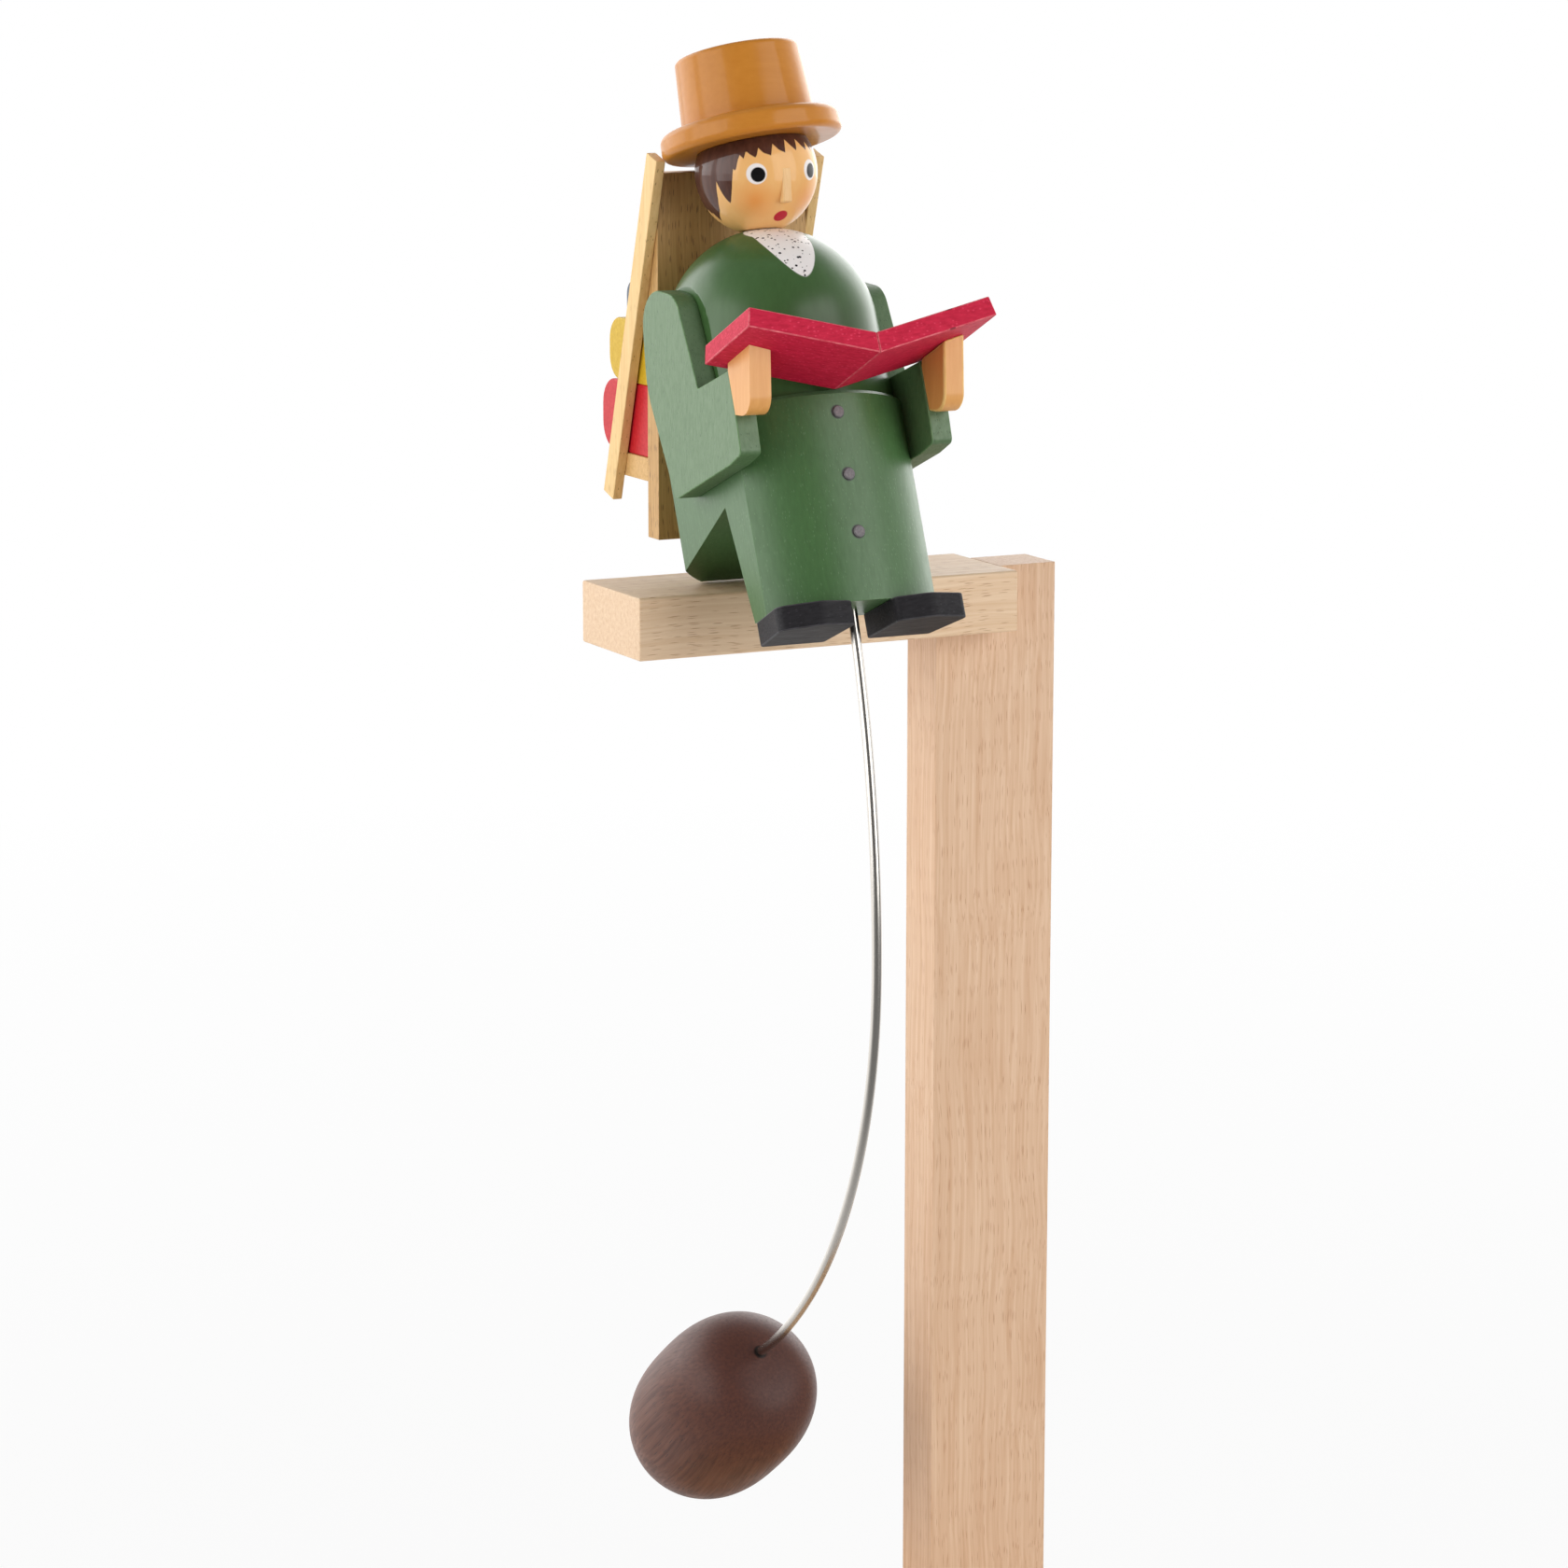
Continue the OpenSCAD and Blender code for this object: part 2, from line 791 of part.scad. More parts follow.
module counterweight_ball() {
    color(WALNUT) difference() {
        ball_frame() ball_blank();
        wire_end_frame() peg_hole(wire_diameter, wire_in_ball);
        core_bore();
    }
}

// The other coordinate of a point on the ball's unit outline
function ball_curve(x) = pow(1 - pow(x, ball_bluntness), 1 / ball_bluntness);

// The turned ball, from pole to pole along Z
module ball_blank() {
    rotate_extrude()
        polygon([for (i = [0:BALL_STEPS])
            let (
                turn = 180 * i / BALL_STEPS,
                along = sign(cos(turn)) * pow(abs(cos(turn)), 2 / ball_bluntness),
                out = pow(sin(turn), 2 / ball_bluntness)
            )
            [ball_radius * out, ball_length / 2 * (1 - along)]]);
}

// From the ball's far pole inward
module at_far_pole() {
    ball_frame() translate([0, 0, ball_length]) rotate([180, 0, 0]) children();
}

module core_bore() {
    at_far_pole()
        translate([0, 0, -over])
            cylinder(
                h = over + plug_length + core_length,
                d = core_diameter + 2 * peg_clearance
            );
}

module ball_core() {
    color(STEEL) at_far_pole()
        translate([0, 0, plug_length])
            cylinder(h = core_length, d = core_diameter);
}

module ball_plug() {
    color(WALNUT) intersection() {
        ball_frame() ball_blank();
        at_far_pole() cylinder(h = plug_length, d = core_diameter);
    }
}

module carrier_board() {
    color(LIME) difference() {
        at_edge()
            translate([-carrier_half, back_flat, carrier_low])
                cube([2 * carrier_half, carrier_thickness, carrier_high - carrier_low]);
        at_carrier_pegs() rotate([180, 0, 0]) peg_hole(peg_diameter, carrier_thickness + over);
    }
}

// Where the pegs cross from the board into the torso, Z pointing forward
module at_carrier_pegs() {
    at_edge()
        for (height = CARRIER_PEGS)
            translate([0, back_flat, height]) rotate([90, 0, 0]) children();
}

module carrier_pegs() {
    color(LIME) at_carrier_pegs()
        translate([0, 0, -carrier_thickness])
            cylinder(h = carrier_thickness + peg_depth, d = peg_diameter);
}

module carrier_rail(side) {
    color(LIME) side_plate(side, carrier_half, rail_thickness)
        translate([back_flat - rail_top_forward, carrier_high + rail_top_above])
            rotate(rail_slant)
                translate([0, -rail_length])
                    square([rail_width, rail_length]);
}

module carrier_shelf() {
    color(LIME) at_edge()
        translate([-carrier_half, back_flat + carrier_thickness, shelf_low])
            cube([2 * carrier_half, shelf_depth, shelf_thickness]);
}

// A bundle on the shelf: flat against the board, rounded behind
module bundle(size, height) {
    at_edge()
        translate([-bundle_half, back_flat + carrier_thickness, height])
            rotate([90, 0, 90])
                linear_extrude(2 * bundle_half)
                    polygon(rounded([
                        [0, 0, 0],
                        [size[1], 0, size[0] * bundle_round],
                        [size[1], size[0], size[0] * bundle_round],
                        [0, size[0], 0],
                    ]));
}

module bundle_red() {
    color(RED_PAINT) bundle(RED, shelf_top);
}

module bundle_yellow() {
    color(YELLOW_PAINT) bundle(YELLOW, shelf_top + RED[0]);
}

module bundle_grey() {
    color(GREY_PAINT) bundle(GREY, shelf_top + RED[0] + YELLOW[0]);
}

stand_foot();
stand_post();
seat_beam();
beam_dowel();
foot_screws();
coat();
torso();
waist_dowel();
head();
neck_peg();
nose();
hat();
hat_peg();
arm(-1);  // arm_right
arm(1);  // arm_left
hand(-1);  // hand_right
hand(1);  // hand_left
book_board(-1);  // book_right
book_board(1);  // book_left
buttons();
shoe(-1);  // shoe_right
shoe(1);  // shoe_left
pendulum_wire();
counterweight_ball();
ball_core();
ball_plug();
carrier_board();
carrier_rail(-1);  // carrier_rail_right
carrier_rail(1);  // carrier_rail_left
carrier_shelf();
bundle_red();
bundle_yellow();
bundle_grey();
carrier_pegs();
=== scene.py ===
import json
import math

import bmesh
import bpy
from mathutils import Matrix, Vector


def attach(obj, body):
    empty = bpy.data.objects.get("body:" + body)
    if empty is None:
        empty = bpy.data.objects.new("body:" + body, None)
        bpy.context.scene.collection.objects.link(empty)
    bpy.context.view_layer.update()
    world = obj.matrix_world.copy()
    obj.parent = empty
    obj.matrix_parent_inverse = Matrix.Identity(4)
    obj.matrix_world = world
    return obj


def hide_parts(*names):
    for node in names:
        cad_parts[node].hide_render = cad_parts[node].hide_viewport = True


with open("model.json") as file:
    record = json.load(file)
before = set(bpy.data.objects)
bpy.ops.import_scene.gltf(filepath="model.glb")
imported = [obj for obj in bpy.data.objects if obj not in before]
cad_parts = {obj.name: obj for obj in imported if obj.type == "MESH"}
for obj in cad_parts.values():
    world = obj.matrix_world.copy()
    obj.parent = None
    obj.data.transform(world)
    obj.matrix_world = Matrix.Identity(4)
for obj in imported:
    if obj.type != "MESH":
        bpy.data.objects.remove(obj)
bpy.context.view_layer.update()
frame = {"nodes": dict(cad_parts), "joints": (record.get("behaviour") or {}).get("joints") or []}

# Stand: seat beam
# The seat is one planed bar of unfinished beech. Its grain runs along the bar, short dark
# ray flecks show on the faces, and the arrises are only broken with sandpaper.
mm = 0.001
SAME_POINT = 0.001 * mm
FLAT_WITHIN = 0.01
SHARP_FROM = 32


def put(tree, kind, inputs=(), **settings):
    """A new node with its settings made and its inputs set or linked"""
    made = tree.nodes.new(kind)
    for key, value in settings.items():
        setattr(made, key, value)
    for key, value in dict(inputs).items():
        if isinstance(value, bpy.types.NodeSocket):
            tree.links.new(value, made.inputs[key])
        else:
            made.inputs[key].default_value = value
    return made


def math_of(tree, operation, first, second=0.0):
    """What a Math node puts out"""
    return put(tree, "ShaderNodeMath", {0: first, 1: second}, operation=operation).outputs[0]


def vector_of(tree, operation, first, second=(0, 0, 0)):
    """The vector that a Vector Math node puts out"""
    return put(tree, "ShaderNodeVectorMath", {0: first, 1: second}, operation=operation).outputs["Vector"]


def between(tree, value, low, high, start=0.0, end=1.0):
    """From start where the value is at low to end where it is at high, and level beyond both"""
    span = {"Value": value, 1: low, 2: high, 3: start, 4: end}
    return put(tree, "ShaderNodeMapRange", span).outputs[0]


def blended(tree, share, first, second):
    """The colour first where the share is 0 and second where it is 1"""
    return put(tree, "ShaderNodeMix", {0: share, 6: first, 7: second}, data_type="RGBA").outputs[2]


def noise_at(tree, place, scale=1.0, detail=2.0, roughness=0.5):
    """The outputs of a Noise Texture node"""
    wanted = {"Vector": place, "Scale": scale, "Detail": detail, "Roughness": roughness}
    return put(tree, "ShaderNodeTexNoise", wanted).outputs


def on_piece(tree):
    """The place on the piece, in metres"""
    return put(tree, "ShaderNodeTexCoord").outputs["Object"]


def colour(red, green, blue):
    """A colour given as it looks on screen, 0 to 255"""
    channels = (value / 255 for value in (red, green, blue))
    return tuple(c / 12.92 if c < 0.04045 else ((c + 0.055) / 1.055) ** 2.4 for c in channels) + (1,)


def new_group(kind, name, sockets):
    """An empty node group with named sockets, and its two ends to link to"""
    group = bpy.data.node_groups.new(name, kind)
    for direction, socket_kind, labels in sockets:
        for label in labels:
            group.interface.new_socket(label, in_out=direction, socket_type="NodeSocket" + socket_kind)
    return group, group.nodes.new("NodeGroupInput").outputs, group.nodes.new("NodeGroupOutput").inputs


# Most of a noise lies between these two values
NOISE_LOW, NOISE_HIGH = 0.3, 0.7
GRAIN_SIZES = ("Streak Length", "Streak Width", "Fleck Length", "Fleck Width", "Fleck Share")


def make_grain():
    """Wood grain along X: soft streaks, narrow flecks and the relief of both"""
    group, given, out = new_group("ShaderNodeTree", "wood_grain", [
        ("INPUT", "Vector", ["Place"]),
        ("INPUT", "Float", GRAIN_SIZES),
        ("OUTPUT", "Float", ["Streaks", "Flecks", "Relief"]),
    ])
    # The grain wanders by up to 2 mm either way, in waves of about 40 mm
    waves_per_metre = 25.0
    middle_of_noise = (0.5, 0.5, 0.5)
    full_wander = (4 * mm, 4 * mm, 4 * mm)
    wander = noise_at(group, given["Place"], scale=waves_per_metre, detail=1.0)["Color"]
    wander = vector_of(group, "SUBTRACT", wander, middle_of_noise)
    wander = vector_of(group, "MULTIPLY", wander, full_wander)
    place = vector_of(group, "ADD", given["Place"], wander)

    def stretched(length, width):
        size = put(group, "ShaderNodeCombineXYZ", {"X": length, "Y": width, "Z": width}).outputs[0]
        return vector_of(group, "DIVIDE", place, size)

    along_streaks = stretched(given["Streak Length"], given["Streak Width"])
    streaks = noise_at(group, along_streaks, detail=5.0, roughness=0.6)[0]
    cells = put(group, "ShaderNodeTexVoronoi", {
        "Vector": stretched(given["Fleck Length"], given["Fleck Width"]), "Scale": 1.0, "Randomness": 1.0,
    })
    # A fleck is full up to the inner distance from its middle and gone at the outer one
    fleck_outer, fleck_inner = 0.34, 0.18
    near = between(group, cells.outputs["Distance"], fleck_outer, fleck_inner)
    luck = put(group, "ShaderNodeSeparateColor", {"Color": cells.outputs["Color"]}).outputs[0]
    flecks = math_of(group, "MULTIPLY", near, math_of(group, "LESS_THAN", luck, given["Fleck Share"]))
    relief = math_of(group, "SUBTRACT", streaks, flecks)
    for label, value in (("Streaks", streaks), ("Flecks", flecks), ("Relief", relief)):
        group.links.new(value, out[label])
    return group


GRAIN = make_grain()
ALONG = {"X": (0, 0, 0), "Y": (0, 0, math.pi / 2), "Z": (0, math.pi / 2, 0)}


def wood(name, pale, deep, fleck=None, grain="X", lean=0.0, streak=(30, 0.9), flecks=(4, 0.5, 0.0),
         rough=(0.45, 0.6), coat=0.0, coat_rough=0.2, relief=0.02, specular=0.5):
    """A wooden finish. Colours are as on screen and lean is in degrees about X. A streak is (length,
    width) and flecks are (length, width, share of places that have one); sizes and relief in mm."""
    material = bpy.data.materials.new(name)
    material.use_nodes = True
    tree = material.node_tree
    face = tree.nodes["Principled BSDF"]
    leaning = (math.radians(lean), 0, 0)
    place = put(tree, "ShaderNodeMapping", {"Vector": on_piece(tree), "Rotation": leaning}).outputs[0]
    place = put(tree, "ShaderNodeMapping", {"Vector": place, "Rotation": ALONG[grain]}).outputs[0]
    sizes = (streak[0] * mm, streak[1] * mm, flecks[0] * mm, flecks[1] * mm, flecks[2])
    pattern = put(tree, "ShaderNodeGroup", node_tree=GRAIN)
    tree.links.new(place, pattern.inputs["Place"])
    for label, size in zip(GRAIN_SIZES, sizes):
        pattern.inputs[label].default_value = size
    streaks = between(tree, pattern.outputs["Streaks"], NOISE_LOW, NOISE_HIGH)
    base = blended(tree, streaks, colour(*pale), colour(*deep))
    if fleck:
        base = blended(tree, pattern.outputs["Flecks"], base, colour(*fleck))
    tree.links.new(base, face.inputs["Base Color"])
    tree.links.new(between(tree, streaks, 0, 1, *rough), face.inputs["Roughness"])
    face.inputs["Coat Weight"].default_value = coat
    face.inputs["Coat Roughness"].default_value = coat_rough
    face.inputs["Specular IOR Level"].default_value = specular
    bump = put(tree, "ShaderNodeBump", {"Height": pattern.outputs["Relief"], "Distance": relief * mm})
    tree.links.new(bump.outputs[0], face.inputs["Normal"])
    return material


def placed(name, data):
    """An object in the scene for a mesh, a lamp or a lens"""
    made = bpy.data.objects.new(name, data)
    bpy.context.scene.collection.objects.link(made)
    return made


def mesh_of(name, shape):
    """A bmesh written out as a mesh"""
    mesh = bpy.data.meshes.new(name)
    shape.to_mesh(mesh)
    shape.free()
    return mesh


def modified(piece):
    """What an object's modifiers make of it, as a plain mesh"""
    return bpy.data.meshes.new_from_object(piece.evaluated_get(bpy.context.evaluated_depsgraph_get()))


def finished(name, shape, materials, nodes, body="figure", edge_width=0.0, edge_steps=2):
    mesh = mesh_of(name, shape)
    for material in materials:
        mesh.materials.append(material)
    mesh.polygons.foreach_set("use_smooth", [True] * len(mesh.polygons))
    piece = placed(name, mesh)
    if edge_width:
        bevel = piece.modifiers.new("edges", "BEVEL")
        bevel.width = edge_width * mm
        bevel.segments = edge_steps
        bevel.limit_method = "ANGLE"
        bevel.angle_limit = math.radians(SHARP_FROM)
        bevel.use_clamp_overlap = True
        bevel.material = len(materials) - 1
        bevel.miter_outer = "MITER_ARC"
    normals = piece.modifiers.new("normals", "WEIGHTED_NORMAL")
    normals.weight = 60
    applied = modified(piece)
    piece.modifiers.clear()
    piece.data = applied
    bpy.data.meshes.remove(mesh)
    applied.name = name
    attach(piece, body)
    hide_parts(*nodes)


def sanded(node, materials, edge_width, edge_steps=2, body="figure"):
    """A piece with a CAD node's own shape: its triangles merged into whole faces, its arrises sanded"""
    shape = bmesh.new()
    shape.from_mesh(frame["nodes"][node].data)
    bmesh.ops.remove_doubles(shape, verts=shape.verts, dist=SAME_POINT)
    bmesh.ops.dissolve_limit(shape, angle_limit=FLAT_WITHIN, verts=shape.verts, edges=shape.edges)
    finished(node + "_wood", shape, materials, [node], body, edge_width, edge_steps)


beech_along = wood(
    "beech_along", (234, 205, 172), (218, 182, 144), fleck=(178, 132, 96), grain="X",
    streak=(60, 1.0), flecks=(5, 0.22, 0.4), rough=(0.46, 0.56), relief=0.02,
)
sanded("seat_beam", [beech_along], edge_width=0.35, body="stand")

# Stand: post and foot board
# The post is the same planed beech with its grain upright; a notch sawn in its top holds the
# end of the beam. It stands in a mortise of the foot board, whose arrises are rounder.
beech_upright = wood(
    "beech_upright", (228, 194, 162), (208, 166, 130), fleck=(190, 142, 108), grain="Z",
    streak=(70, 0.9), flecks=(6, 0.24, 0.34), rough=(0.46, 0.56), relief=0.02,
)
sanded("stand_post", [beech_upright], edge_width=0.35, body="stand")
sanded("stand_foot", [beech_along], edge_width=0.9, edge_steps=3, body="stand")

# Figure: coat
# The coat is turned from one block as a plain cylinder, then sawn flat on both sides and the
# back, notched behind the legs and lacquered green. The sawn arrises show a paler green.
COAT_RADIUS = 28.4
COAT_FOOT = -18.5
WAIST = 30.2
WAIST_CHAMFER = 1
COAT_LEAN = 22
COAT_AHEAD = 23.8
HALF_BODY = 21.4
BACK_FLAT = 15.1
BUTTONS = (24.9, 10.5, -2.8)


def moved(x, y, z):
    """A shift, in mm"""
    return Matrix.Translation(Vector((x, y, z)) * mm)


def turn(degrees, axis):
    """A turn about an axis"""
    return Matrix.Rotation(math.radians(degrees), 4, axis)


def at(place, x, y, z):
    """A point given in mm from a place"""
    return place @ (Vector((x, y, z)) * mm)


# EDGE is the middle of the edge that the figure rocks on; COAT is the coat's turning axis
EDGE = Matrix.Translation(frame["joints"][0]["pos_m"])
COAT = EDGE @ turn(-COAT_LEAN, "X") @ moved(0, -COAT_AHEAD, 0)


def turned(place, outline, steps=160):
    """A piece turned on the lathe: its half outline of (radius, height) in mm, from end to end"""
    shape = bmesh.new()
    angles = [2 * math.pi * i / steps for i in range(steps)]
    rings = []
    for radius, height in outline:
        if radius == 0:
            rings.append([shape.verts.new(at(place, 0, 0, height))])
        else:
            around = [(radius * math.cos(a), radius * math.sin(a)) for a in angles]
            rings.append([shape.verts.new(at(place, x, y, height)) for x, y in around])
    for low, high in zip(rings, rings[1:]):
        for i in range(steps):
            j = (i + 1) % steps
            corners = [low[i % len(low)], low[j % len(low)], high[j % len(high)], high[i % len(high)]]
            shape.faces.new(list(dict.fromkeys(corners)))
    for ring in (rings[0], rings[-1]):
        if len(ring) > 1:
            shape.faces.new(ring)
    bmesh.ops.recalc_face_normals(shape, faces=shape.faces)
    return shape


def sawn(shape, point, normal):
    """Cuts away all that lies beyond a plane, and closes the cut"""
    parts = shape.verts[:] + shape.edges[:] + shape.faces[:]
    cut = bmesh.ops.bisect_plane(
        shape, geom=parts, dist=0.1 * SAME_POINT, plane_co=point, plane_no=normal, clear_outer=True
    )
    rim = [e for e in cut["geom_cut"] if isinstance(e, bmesh.types.BMEdge)]
    bmesh.ops.edgeloop_fill(shape, edges=rim)
    return shape


def sawn_flat(shape):
    """The flats on both sides and the back of the figure"""
    for side in (-1, 1):
        sawn(shape, at(EDGE, side * HALF_BODY, 0, 0), (side, 0, 0))
    return sawn(shape, at(EDGE, 0, BACK_FLAT, 0), (0, 1, 0))


def thrown_away(piece):
    """Removes an object and its mesh"""
    mesh = piece.data
    bpy.data.objects.remove(piece)
    bpy.data.meshes.remove(mesh)


def taken_from(piece):
    """What an object's modifiers make of it, as a bmesh; the object itself is thrown away"""
    result = modified(piece)
    shape = bmesh.new()
    shape.from_mesh(result)
    bpy.data.meshes.remove(result)
    thrown_away(piece)
    return shape


def notched(shape):
    """Sawn behind the legs and below the seat, so that one straight edge is left to rock on"""
    # What the saw takes out, as (towards Y, up) from the rocking edge: the notch's corner, the
    # edge, the sole that rises by 20 degrees, and two corners well outside the coat
    outline = [(-25.2, 20.6), (0, 0), (60, 21.84), (60, -60), (-63.4, -39.4)]
    past_sides = 40
    cutter = bmesh.new()
    ends = [[cutter.verts.new(at(EDGE, x, y, z)) for y, z in outline] for x in (-past_sides, past_sides)]
    cutter.faces.new(ends[0])
    cutter.faces.new(ends[1][::-1])
    for i in range(len(outline)):
        j = (i + 1) % len(outline)
        cutter.faces.new((ends[0][i], ends[1][i], ends[1][j], ends[0][j]))
    bmesh.ops.recalc_face_normals(cutter, faces=cutter.faces)
    block = placed("coat_block", mesh_of("coat_block", shape))
    saw = placed("notch_saw", mesh_of("notch_saw", cutter))
    cut = block.modifiers.new("notch", "BOOLEAN")
    cut.object = saw
    cut.operation = "DIFFERENCE"
    cut.solver = "EXACT"
    result = taken_from(block)
    thrown_away(saw)
    return result


def place_from(tree, middle):
    """The place on the piece as seen from a middle point, in metres"""
    return vector_of(tree, "SUBTRACT", on_piece(tree), tuple(middle))


def length_of(tree, vector):
    """The length of a vector"""
    return put(tree, "ShaderNodeVectorMath", {0: vector}, operation="LENGTH").outputs["Value"]


def disc(tree, middle, outer, inner, strength=1.0):
    """The strength up to the inner distance from a point, and 0 beyond the outer one, in mm"""
    return between(tree, length_of(tree, place_from(tree, middle)), outer * mm, inner * mm, 0.0, strength)


def paint_over(material, mask, coat_of_paint):
    """Lays a colour or a colour socket over the base colour where the mask is 1"""
    tree = material.node_tree
    face = tree.nodes["Principled BSDF"]
    below = face.inputs["Base Color"].links[0].from_socket
    tree.links.new(blended(tree, mask, below, coat_of_paint), face.inputs["Base Color"])


green_lacquer = wood(
    "green_lacquer", (70, 107, 61), (63, 98, 54), fleck=(80, 116, 71), grain="Z", lean=COAT_LEAN,
    streak=(3.5, 0.8), flecks=(1.1, 0.45, 0.3), rough=(0.34, 0.42), relief=0.016,
)
green_edge = wood(
    "green_edge", (96, 130, 84), (70, 106, 60), grain="Z", lean=COAT_LEAN,
    streak=(6, 0.8), rough=(0.5, 0.6), relief=0.01,
)
# Painted shade: round each button a dark ring stands for the shadow in the gap of its hole, set a little to
# the figure's right, where that shade falls
SHADE_RING_SHIFT = -0.12
for height in BUTTONS:
    shade_ring_middle = at(COAT, SHADE_RING_SHIFT, -COAT_RADIUS, height)
    rim = disc(green_lacquer.node_tree, shade_ring_middle, outer=1.75, inner=1.5)
    paint_over(green_lacquer, rim, colour(30, 40, 28))
coat_outline = [
    (COAT_RADIUS, COAT_FOOT), (COAT_RADIUS, WAIST - WAIST_CHAMFER), (COAT_RADIUS - WAIST_CHAMFER, WAIST),
]
coat_shape = notched(sawn_flat(turned(COAT, coat_outline)))
finished("coat_wood", coat_shape, [green_lacquer, green_edge], ["coat"], edge_width=0.3)

# Figure: torso and neckerchief
# The torso is turned with round shoulders and a slight flare, sawn to the coat's flats and
# glued on the coat at the waist. The neckerchief is painted on it: white with fine black specks.
SHOULDER_RADIUS = 24.45
SHOULDER_HEIGHT = 20.8
FLARE = 8
SKIRT = 9
NECK_HEIGHT = 44.9
TORSO_LEAN = 10.5
TORSO_BACK = 1.4
TORSO = COAT @ moved(0, TORSO_BACK, WAIST) @ turn(COAT_LEAN - TORSO_LEAN, "X")


def arc(across, up, radius, start, end, steps):
    """Points of an arc round a middle, angles in degrees"""
    angles = (math.radians(start + (end - start) * i / steps) for i in range(steps + 1))
    return [(across + radius * math.cos(a), up + radius * math.sin(a)) for a in angles]


def axes_of(tree, vector):
    """The X, Y and Z of a vector"""
    return put(tree, "ShaderNodeSeparateXYZ", {0: vector}).outputs


torso_lacquer = wood(
    "torso_lacquer", (66, 100, 55), (61, 94, 50), grain="Z", lean=TORSO_LEAN,
    streak=(14, 1.6), rough=(0.28, 0.32), relief=0.006, specular=0.36,
)
tree = torso_lacquer.node_tree
# Seen from above, the kerchief is a ring round the neck with an oval bib that hangs over the
# chest. Its sizes are shares of the shoulder's radius.
BIB_SHIFT = 0.04
BIB_START = 0.3
BIB_HALF_WIDTH = 0.25
BIB_LENGTH = 0.49
BIB_ROUNDNESS = 1.8
BIB_BLUR = 0.02
BIB_AHEAD_OF = -0.05
RING_MIDDLE = (-0.02, -0.08, 0)
RING_OUTER, RING_INNER = 0.29, 0.28
on_shoulder = place_from(tree, at(TORSO, 0, 0, SHOULDER_HEIGHT))
over = axes_of(tree, vector_of(tree, "NORMALIZE", on_shoulder))
to_side = math_of(tree, "ABSOLUTE", math_of(tree, "ADD", over["X"], BIB_SHIFT))
to_front = math_of(tree, "MAXIMUM", math_of(tree, "SUBTRACT", -BIB_START, over["Y"]), 0.0)
bib = math_of(
    tree, "ADD",
    math_of(tree, "POWER", math_of(tree, "DIVIDE", to_side, BIB_HALF_WIDTH), BIB_ROUNDNESS),
    math_of(tree, "POWER", math_of(tree, "DIVIDE", to_front, BIB_LENGTH), BIB_ROUNDNESS),
)
bib = between(tree, bib, 1 + BIB_BLUR, 1 - BIB_BLUR)
bib = math_of(tree, "MULTIPLY", bib, math_of(tree, "LESS_THAN", over["Y"], BIB_AHEAD_OF))
from_above = put(tree, "ShaderNodeCombineXYZ", {"X": over["X"], "Y": over["Y"]}).outputs[0]
from_neck = length_of(tree, vector_of(tree, "SUBTRACT", from_above, RING_MIDDLE))
kerchief = math_of(tree, "MAXIMUM", bib, between(tree, from_neck, RING_OUTER, RING_INNER))
kerchief = math_of(tree, "MULTIPLY", kerchief, math_of(tree, "GREATER_THAN", over["Z"], 0.0))

# The specks lie about a millimetre apart; one place in five has none, and the rest vary in size
SPECKS_PER_METRE = 1050.0
SPECKLESS_SHARE = 0.2
LARGEST_SPECK = 0.4
speck = put(tree, "ShaderNodeTexVoronoi", {
    "Vector": on_shoulder, "Scale": SPECKS_PER_METRE, "Randomness": 1.0,
})
luck = put(tree, "ShaderNodeSeparateColor", {"Color": speck.outputs["Color"]}).outputs[1]
speck_radius = between(tree, luck, SPECKLESS_SHARE, 1.0, 0.0, LARGEST_SPECK)
specks = math_of(tree, "LESS_THAN", speck.outputs["Distance"], speck_radius)
paint_over(torso_lacquer, kerchief, blended(tree, specks, colour(243, 240, 238), colour(34, 30, 36)))

shoulder_top = math.degrees(math.asin((NECK_HEIGHT - SHOULDER_HEIGHT) / SHOULDER_RADIUS))
shoulder = arc(0, SHOULDER_HEIGHT, SHOULDER_RADIUS, FLARE, shoulder_top, steps=24)
skirt_radius = shoulder[0][0] + (shoulder[0][1] + SKIRT) * math.tan(math.radians(FLARE))
torso_shape = sawn_flat(turned(TORSO, [(skirt_radius, -SKIRT)] + shoulder))
sawn(torso_shape, at(COAT, 0, 0, WAIST), COAT.to_3x3() @ Vector((0, 0, -1)))
finished("torso_wood", torso_shape, [torso_lacquer, green_edge], ["torso"], edge_width=0.3)

# Figure: head
# The head is a turned ball, lacquered in a glossy skin colour. Eyes, mouth, cheeks and the
# jagged brown hair are painted on it with a brush; the nose is a slip of wood let into the face.
HEAD_RADIUS = 14.1
HEAD_HEIGHT = 58.2
HEAD_SHIFT = (-0.8, -0.3, 0)
HEAD = TORSO @ moved(0, 0, HEAD_HEIGHT) @ turn(TORSO_LEAN, "X") @ moved(*HEAD_SHIFT)
skin = wood(
    "skin_lacquer", (240, 188, 120), (236, 182, 112), grain="Z", streak=(10, 3),
    rough=(0.42, 0.46), coat=0.5, coat_rough=0.03, relief=0.002, specular=0.1,
)
tree = skin.node_tree
on_head = place_from(tree, HEAD.translation)


def on_ball(azimuth, elevation):
    """A point on the head, azimuth from straight ahead to the figure's left"""
    a, e = math.radians(azimuth), math.radians(elevation)
    return Vector((math.sin(a) * math.cos(e), -math.cos(a) * math.cos(e), math.sin(e))) * HEAD_RADIUS * mm


